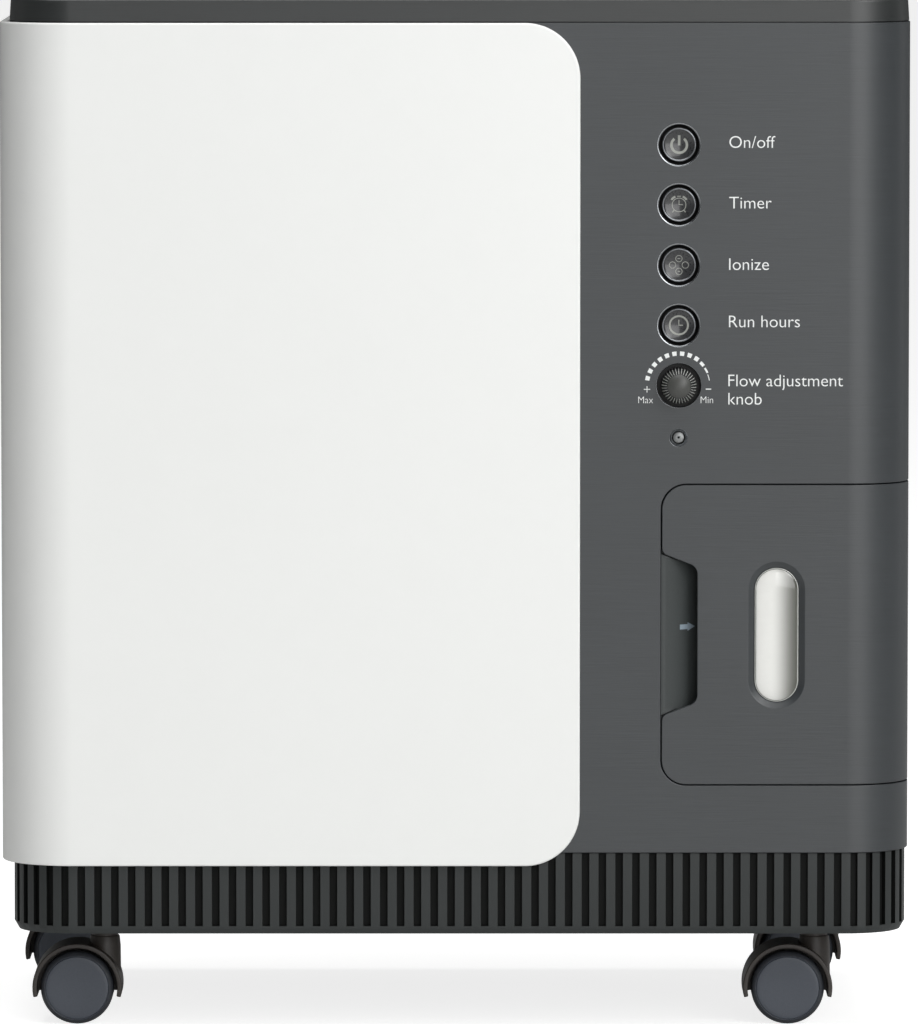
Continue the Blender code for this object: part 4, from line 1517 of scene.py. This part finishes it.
def make_bay():
    corner = settings("case").corner - WALL - GAP
    low = Vector((BAY_LOW.x, FRONT + WALL + GAP, BAY_LOW.z))
    high = Vector((RIGHT - WALL - GAP, BAY_HIGH.y, BAY_HIGH.z))
    outline = plate(low, high, corner, 20, lambda place: place.x > 0.15 and place.y < -0.09)
    bay = moved(raised(outline, high.z - low.z), (0, 0, low.z))
    skin = 0.0022
    hollow = box((low.x + skin, -0.2, low.z + skin), (0.25, high.y - skin, high.z - skin))
    block = box((low.x + 0.001, low.y + GAP, NOTCH_Z - SCOOP_HALF), (0.120, -0.097, NOTCH_Z + SCOOP_HALF))
    lip_low = (DOOR_LOW.x - SEAM + 0.00004, FRONT + 0.0001, NOTCH_Z - 0.040)
    lip_high = (0.0995, -0.104, NOTCH_Z + 0.040)
    lip = carved(box(lip_low, lip_high), notch(0.0004, 0.09, 0.13), operation="INTERSECT")
    bay = carved(bay, hollow)
    bay = carved(bay, block, lip, operation="UNION")
    shape = bmesh.new()
    places = [*SCOOP_RAMP, (0.1180, -0.0996), (0.1180, -0.1180), (0.0902, -0.1180)]
    shape.faces.new([shape.verts.new((x, y, 0)) for x, y in places])
    pocket = moved(raised(shape, 2 * SCOOP_HALF - 0.003), (0, 0, NOTCH_Z - SCOOP_HALF + 0.0015))
    softened(pocket, 0.0035, 5, 60, level_inside)
    bay = carved(bay, pocket, pin_bore(0.08))
    softened(bay, 0.0003, 2, 60)
    piece(
        "bay_liner",
        bay,
        [liner_polypropylene(), acetal_black_and_well_shade()],
        replaces=["humidifier_bay"],
        sharp=40,
    )
    make_arrow()


def level_inside(edge):
    """True on the pocket's level edges behind the door's skin."""
    start, end = (vert.co for vert in edge.verts)
    return abs(start.z - end.z) < MERGE and start.y > -0.1119


def make_arrow():
    """Small arrow printed on the scoop's ramp."""
    shaft = bar((0.0988, 0), (0.1022, 0), 0.0022, 4)
    head = bmesh.new()
    bmesh.ops.create_circle(head, segments=3, radius=0.0022, cap_ends=True)
    bmesh.ops.rotate(
        head, cent=(0, 0, 0), matrix=Matrix.Rotation(math.radians(-90), 3, "Z"), verts=head.verts
    )
    moved(head, (0.1033, 0, 0))
    arrow = several([shaft, upward(head)])
    facing(arrow, FRONTWARD, (0, 0, NOTCH_Z + 0.0030))
    for vert in arrow.verts:
        vert.co.y = ramp_level(vert.co.x) - 0.00012
    piece("finger_arrow", arrow, [arrow_ink()])


def make_bottle():
    center = (BOTTLE_LOW + BOTTLE_HIGH) / 2
    thick = 0.0020
    foot = [(0, 0.0008), (0.0180, 0.0008), (0.0200, 0.0), (0.0235, 0.0), (0.0250, 0.0016)]
    side = [(0.0250, 0.0300), (0.0246, 0.0310), (0.0246, 0.0330), (0.0250, 0.0340), (0.0250, 0.0900)]
    neck = [(0.0240, 0.0950), (0.0200, 0.1000), (0.0190, 0.1030), (0.0190, 0.1141)]
    outer = foot + side + neck
    inner = [(radius - thick, level + (thick if level < 0.002 else 0.0)) for radius, level in outer if radius]
    profile = [*outer, *reversed(inner), (0, 0.0008 + thick)]
    bottle = turned([(radius, level + BOTTLE_LOW.z) for radius, level in profile], 64)
    facing(bottle, UPRIGHT, (center.x, center.y, 0))
    piece(
        "bottle_blown",
        bottle,
        [bottle_polycarbonate()],
        replaces=["humidifier_bottle"],
        sharp=50,
    )
    tube = [(0.0012, 0.120), (0.0012, CAP_HIGH.z), (0.0026, CAP_HIGH.z), (0.0026, 0.2290)]
    crown = [(0.0190, 0.2290), (0.0205, 0.2283), (0.0212, 0.2270), (0.0215, 0.2255), (0.0215, 0.2155)]
    inside = [(0.0210, 0.2147), (0.0195, 0.2147), (0.0195, 0.2243), (0.0022, 0.2243), (0.0022, 0.120)]
    cap = turned(tube + crown + inside, 64, closed=True)
    facing(cap, UPRIGHT, (center.x, center.y, 0))
    piece(
        "bottle_cap", cap, [liner_polypropylene()], replaces=["humidifier_cap"], sharp=40
    )


# Rear fittings


def make_rear_fittings():
    at = middle("filter_cover")
    width = FILTER_HIGH.x - FILTER_LOW.x
    height = FILTER_HIGH.z - FILTER_LOW.z
    proud = FILTER_HIGH.y - REAR
    cover = raised(plate((-width / 2, -height / 2), (width / 2, height / 2), 0.005, 10), proud - GAP - 0.001)
    moved(cover, (0, 0, GAP))
    drawn_on(cover, quarter(0.001, 4))
    rim = box((-0.0537, -0.0387, -0.008), (0.0537, 0.0387, 0.0008), 0.002)
    cover = carved(cover, rim, operation="UNION")
    hollow = box((-0.0515, -0.0365, -0.009), (0.0515, 0.0365, GAP), 0.002)
    slots = []
    for row in range(-3, 4):
        slot = box((-0.045, -0.002, -0.004), (0.045, 0.002, 0.006), 0.00195)
        slots.append(moved(slot, (0, 0.0085 * row, 0)))
    cover = carved(cover, hollow, several(slots))
    softened(cover, 0.0003, 2, 60)
    facing(cover, REARWARD, (at.x, REAR, at.z))
    piece("filter_grille", cover, [body_abs(), acetal_black_and_well_shade()], "filter_door", ["filter_cover"])
    make_inlet()


def make_inlet():
    at = middle("mains_inlet")
    proud = INLET_HIGH.y - REAR
    flange = raised(plate((-0.0165, -0.0130), (0.0165, 0.0130), 0.002, 8), proud - GAP - 0.0008)
    moved(flange, (0, 0, GAP))
    drawn_on(flange, quarter(0.0008, 3))
    shroud = box((-0.0135, -0.0100, -0.022), (0.0135, 0.0100, 0.001), 0.003)
    body = carved(flange, shroud, operation="UNION")
    socket = plate((-0.0122, -0.0086), (0.0122, 0.0086), 0.004, 1, lambda place: place.y > 0)
    hollow = moved(raised(socket, 0.02), (0, 0, -0.013))
    softened(hollow, 0.0006, 2, 30, lambda edge: abs(edge.verts[0].co.z - edge.verts[1].co.z) > 0.01)
    body = carved(body, hollow)
    softened(body, 0.00025, 2, 60)
    facing(body, REARWARD, (at.x, REAR, at.z))
    piece("inlet_housing", body, [acetal_black_and_well_shade()], replaces=["mains_inlet"])
    pins = []
    for x, z in ((-0.007, -0.002), (0.007, -0.002), (0.0, 0.002)):
        pins.append(box((x - 0.001, z - 0.002, -0.0135), (x + 0.001, z + 0.002, -0.0018), 0.0004, 2))
    blades = several(pins)
    facing(blades, REARWARD, (at.x, REAR, at.z))
    piece("inlet_pins", blades, [brass_turned()])


# Casters

HOOD_RADIUS = 0.0198
HOOD_HALF = 0.0132
WEB_HALF = 0.0017
WHEEL_RADIUS = 0.0162
WHEEL_INNER = 0.0020
WHEEL_OUTER = 0.01275
STEM_TOP = 0.058


def sector(inner, outer, start, turn, steps, low, high):
    """Part of a ring or disc, drawn flat and raised."""
    shape = bmesh.new()
    near = shape.verts.new((inner, 0, 0))
    far = shape.verts.new((outer, 0, 0))
    edge = shape.edges.new((near, far))
    bmesh.ops.spin(
        shape, geom=[near, far, edge], cent=(0, 0, 0), axis=(0, 0, 1), angle=math.radians(turn), steps=steps
    )
    bmesh.ops.rotate(
        shape, cent=(0, 0, 0), matrix=Matrix.Rotation(math.radians(start), 3, "Z"), verts=shape.verts
    )
    bmesh.ops.remove_doubles(shape, verts=shape.verts, dist=MERGE)
    return moved(raised(upward(shape), high - low), (0, 0, low))


def hood_shape(trail):
    """One hood with its centre web and swivel stem, about the swivel axis."""
    look = settings("casters")
    center = (-trail, 0, WHEEL_RADIUS)
    room = HOOD_RADIUS - look.rim
    skin = softened(sector(room, HOOD_RADIUS, -12, 204, 48, -HOOD_HALF, HOOD_HALF), 0.0005, 3, 55)
    web = softened(sector(0.0, room + look.rim / 2, -8, 196, 48, -WEB_HALF, WEB_HALF), 0.0003, 2, 55)
    neck = turned(
        [(0, 0.016), (0.0072, 0.016), (0.0070, 0.034), (0.0066, 0.0380), (0.0062, 0.0386), (0, 0.0386)], 40
    )
    inside = turned([(0, -0.02), (room + look.rim / 2, -0.02), (room + look.rim / 2, 0.02), (0, 0.02)], 96)
    neck = carved(neck, facing(inside, FRONTWARD, center))
    collar = [(0, 0.036), (0.0058, 0.036), (0.0058, 0.0432), (0.0053, 0.0437)]
    stem = [*collar, (0.0050, 0.0437), (0.0050, STEM_TOP), (0, STEM_TOP)]
    return several([facing(skin, FRONTWARD, center), facing(web, FRONTWARD, center), neck, turned(stem, 40)])


def wheel_shape():
    """One wheel, its face upwards."""
    look = settings("casters")
    cap = look.cap_radius
    face = WHEEL_OUTER
    profile = [
        (0.0023, face - 0.0018),
        (0.0023, WHEEL_INNER + 0.0004),
        (0.0050, WHEEL_INNER),
        (WHEEL_RADIUS - 0.0016, WHEEL_INNER),
        (WHEEL_RADIUS - 0.0005, WHEEL_INNER + 0.0004),
        (WHEEL_RADIUS, WHEEL_INNER + 0.0018),
        (WHEEL_RADIUS, face - 0.0030),
        (WHEEL_RADIUS - 0.0003, face - 0.0018),
        (WHEEL_RADIUS - 0.0009, face - 0.0009),
        (cap + 0.0003, face - 0.0004),
        (cap + 0.0001, face - 0.0005),
        (cap, face - 0.0009),
        (cap - 0.0002, face - 0.0003),
        (cap - 0.0006, face - 0.0001),
        (cap - 0.0020, face),
        (0.0070, face - 0.00015),
        (0.0, face - 0.0002),
    ]
    wheel = turned([(0.0, face - 0.0018), *profile], 80)
    number_faces(wheel, 1, lambda part: ring_radius(part) > cap + 0.00035)
    return wheel


def make_casters():
    trail = SWIVELS["caster_front_left"][0] - middle("caster_wheel_front_left_near").x
    materials = [wheel_nylon(), tread_polyurethane()]
    for corner in CORNERS:
        x, y, _ = SWIVELS[f"caster_{corner}"]
        hood = facing(hood_shape(trail), UPRIGHT, (x, y, 0))
        piece(
            f"hood_{corner}",
            hood,
            [hood_nylon()],
            f"caster_{corner}",
            [f"caster_hood_{corner}"],
            40,
        )
        for side, turn in (("near", FRONTWARD), ("far", REARWARD)):
            wheel = facing(wheel_shape(), turn, (x - trail, y, WHEEL_RADIUS))
            body = f"wheel_{corner}_{side}"
            piece(f"disc_{corner}_{side}", wheel, materials, body, [f"caster_{body}"], 40)


# Parts that keep their CAD shape


def finish_inner_parts():
    corners = [f"caster_axle_{corner}" for corner in CORNERS]
    finishes = {
        liner_polypropylene: ["valve_manifold", "ion_generator"],
        board_laminate: ["button_board", "power_board"],
        brass_turned: ["valve_spindle", "flow_valve"],
        steel_ground: ["door_hinge_pin", "compressor_shaft", *corners],
        foam_open_cell: ["intake_filter"],
        steel_zinc_sheet: ["bulkhead", "fan_shelf"],
        motor_enamel: ["compressor_motor"],
        aluminium_cast: ["compressor_head_left", "compressor_head_right"],
        rubber_moulded: [*[f"compressor_mount_{number}" for number in range(1, 5)], "product_tube"],
        acetal_black_and_well_shade: ["control_frame", "cooling_fan_frame", "cooling_fan_rotor"],
        copper_drawn: ["cooling_coil"],
        powder_white: ["sieve_tower_front", "sieve_tower_rear", "oxygen_tank"],
    }
    for make, nodes in finishes.items():
        for node in nodes:
            for slot in frame["nodes"][node].material_slots:
                slot.material = make()
    bare = [name for name, node in frame["nodes"].items() if not node.hide_render and not dressed(node)]
    if bare:
        raise RuntimeError(f"nodes with no finish of their own: {bare}")


def dressed(node):
    return all(slot.material and len(slot.material.node_tree.nodes) > 3 for slot in node.material_slots)


# Stage

CAMERA_HEIGHT = 0.5716
CAMERA_DISTANCE = 4.2757
CAMERA_X = 0.0018
CAMERA_PITCH = 4.6833
CAMERA_LENS = 335.25


def add_light(name, size, energy, at, aim, tone="#ffffff"):
    light = bpy.data.lights.new(name, "AREA")
    light.shape = "RECTANGLE"
    light.size, light.size_y = size
    light.energy = energy
    light.color = linear(tone)
    made = bpy.data.objects.new(name, light)
    made.location = at
    made.rotation_mode = "QUATERNION"
    made.rotation_quaternion = (Vector(aim) - Vector(at)).to_track_quat("-Z", "Y")
    made.visible_camera = False
    bpy.context.scene.collection.objects.link(made)


def make_stage():
    floor = bmesh.new()
    bmesh.ops.create_circle(floor, segments=96, radius=40.0, cap_ends=True)
    mesh = bpy.data.meshes.new("studio_floor")
    floor.to_mesh(mesh)
    floor.free()
    mesh.materials.append(floor_paint())
    ground = bpy.data.objects.new("studio_floor", mesh)
    bpy.context.scene.collection.objects.link(ground)
    world = bpy.data.worlds.new("studio")
    world.use_nodes = True
    tree = world.node_tree
    seen = add_node(tree, "LightPath").outputs["Is Camera Ray"]
    strength = add_node(tree, "MapRange", inputs={"Value": seen, "To Min": 0.11, "To Max": 0.97}).outputs[0]
    background = tree.nodes["Background"]
    background.inputs["Color"].default_value = (*linear("#f8f9fa"), 1.0)
    tree.links.new(strength, background.inputs["Strength"])
    bpy.context.scene.world = world
    aim = (0, 0, 0.24)
    add_light("front_box", (3.2, 2.6), 80, (1.6, -4.35, 1.1), aim)
    add_light("key", (1.4, 1.4), 36, (1.8, -2.0, 1.9), aim)
    add_light("top", (3.0, 2.4), 62, (0, -0.3, 3.0), aim)
    add_light("right_edge", (0.4, 1.8), 1.8, (2.2, 1.1, 0.8), aim)
    add_light("left_edge", (0.6, 1.8), 0.7, (-2.4, 0.6, 0.9), aim)
    camera_data = bpy.data.cameras.new("camera")
    camera_data.lens = CAMERA_LENS
    camera_data.sensor_width = 36.0
    camera_data.clip_end = 100.0
    camera = bpy.data.objects.new("camera", camera_data)
    camera.location = (CAMERA_X, -CAMERA_DISTANCE, CAMERA_HEIGHT)
    camera.rotation_euler = (math.radians(90 - CAMERA_PITCH), 0, 0)
    bpy.context.scene.collection.objects.link(camera)
    bpy.context.scene.camera = camera
    bpy.context.scene.view_settings.view_transform = "Standard"


# Operators


class CONCENTRATOR_OT_case(bpy.types.Operator):
    """Front and rear shells with their wells and openings"""

    bl_idname = "concentrator.case"
    bl_label = "Case shells"

    def execute(self, context):
        make_case()
        return {"FINISHED"}


class CONCENTRATOR_OT_front_panel(bpy.types.Operator):
    """Glossy panel that wraps the front left corner"""

    bl_idname = "concentrator.front_panel"
    bl_label = "Front panel"

    def execute(self, context):
        make_front_panel()
        return {"FINISHED"}


class CONCENTRATOR_OT_top_cover(bpy.types.Operator):
    """Thin cover with a rounded upper edge"""

    bl_idname = "concentrator.top_cover"
    bl_label = "Top cover"

    def execute(self, context):
        make_top_cover()
        return {"FINISHED"}


class CONCENTRATOR_OT_base(bpy.types.Operator):
    """Base tray with ribs all round"""

    bl_idname = "concentrator.base"
    bl_label = "Ribbed base"

    def execute(self, context):
        make_base()
        return {"FINISHED"}


class CONCENTRATOR_OT_buttons(bpy.types.Operator):
    """Four dished caps with their marks"""

    bl_idname = "concentrator.buttons"
    bl_label = "Buttons"

    def execute(self, context):
        make_buttons()
        return {"FINISHED"}


class CONCENTRATOR_OT_flow_knob(bpy.types.Operator):
    """Ridged flow knob"""

    bl_idname = "concentrator.flow_knob"
    bl_label = "Flow knob"

    def execute(self, context):
        make_knob()
        return {"FINISHED"}


class CONCENTRATOR_OT_outlet(bpy.types.Operator):
    """Oxygen outlet spigot"""

    bl_idname = "concentrator.outlet"
    bl_label = "Outlet"

    def execute(self, context):
        make_outlet()
        return {"FINISHED"}


class CONCENTRATOR_OT_printing(bpy.types.Operator):
    """Function words and flow scale printed on the front"""

    bl_idname = "concentrator.printing"
    bl_label = "Printing"

    def execute(self, context):
        make_printing()
        return {"FINISHED"}


class CONCENTRATOR_OT_humidifier(bpy.types.Operator):
    """Humidifier compartment with its finger scoop, bottle and cap"""

    bl_idname = "concentrator.humidifier"
    bl_label = "Humidifier"

    def execute(self, context):
        make_bay()
        make_bottle()
        return {"FINISHED"}


class CONCENTRATOR_OT_door(bpy.types.Operator):
    """Humidifier door with its notch and window"""

    bl_idname = "concentrator.door"
    bl_label = "Humidifier door"

    def execute(self, context):
        make_door()
        return {"FINISHED"}


class CONCENTRATOR_OT_rear_fittings(bpy.types.Operator):
    """Filter grille and mains inlet"""

    bl_idname = "concentrator.rear_fittings"
    bl_label = "Rear fittings"

    def execute(self, context):
        make_rear_fittings()
        return {"FINISHED"}


class CONCENTRATOR_OT_casters(bpy.types.Operator):
    """Four hoods with two wheels each"""

    bl_idname = "concentrator.casters"
    bl_label = "Casters"

    def execute(self, context):
        make_casters()
        return {"FINISHED"}


class CONCENTRATOR_OT_inner_parts(bpy.types.Operator):
    """Finishes for the parts that keep their CAD shape"""

    bl_idname = "concentrator.inner_parts"
    bl_label = "Inner parts"

    def execute(self, context):
        finish_inner_parts()
        return {"FINISHED"}


class CONCENTRATOR_OT_stage(bpy.types.Operator):
    """Floor, lights and camera"""

    bl_idname = "concentrator.stage"
    bl_label = "Stage"

    def execute(self, context):
        make_stage()
        return {"FINISHED"}


OPERATORS = (
    CONCENTRATOR_OT_case,
    CONCENTRATOR_OT_front_panel,
    CONCENTRATOR_OT_top_cover,
    CONCENTRATOR_OT_base,
    CONCENTRATOR_OT_buttons,
    CONCENTRATOR_OT_flow_knob,
    CONCENTRATOR_OT_outlet,
    CONCENTRATOR_OT_printing,
    CONCENTRATOR_OT_humidifier,
    CONCENTRATOR_OT_door,
    CONCENTRATOR_OT_rear_fittings,
    CONCENTRATOR_OT_casters,
    CONCENTRATOR_OT_inner_parts,
    CONCENTRATOR_OT_stage,
)


class CONCENTRATOR_PT_pieces(bpy.types.Panel):
    """Lists the pieces and their settings"""

    bl_idname = "CONCENTRATOR_PT_pieces"
    bl_label = "Oxygen concentrator"
    bl_space_type = "VIEW_3D"
    bl_region_type = "UI"
    bl_category = "Concentrator"

    def draw(self, context):
        for name, group in SETTINGS.items():
            column = self.layout.column(heading=name.split("_")[1].title())
            for field in group.__annotations__:
                column.prop(getattr(context.scene, name), field)
        for operator in OPERATORS:
            self.layout.operator(operator.bl_idname)


def register():
    for name, group in SETTINGS.items():
        bpy.utils.register_class(group)
        setattr(bpy.types.Scene, name, bpy.props.PointerProperty(type=group))
    for made in (*OPERATORS, CONCENTRATOR_PT_pieces):
        bpy.utils.register_class(made)


def unregister():
    for made in (CONCENTRATOR_PT_pieces, *reversed(OPERATORS)):
        bpy.utils.unregister_class(made)
    for name, group in SETTINGS.items():
        delattr(bpy.types.Scene, name)
        bpy.utils.unregister_class(group)


def main():
    register()
    for operator in OPERATORS:
        area, action = operator.bl_idname.split(".")
        getattr(getattr(bpy.ops, area), action)()


if __name__ == "__main__":
    main()
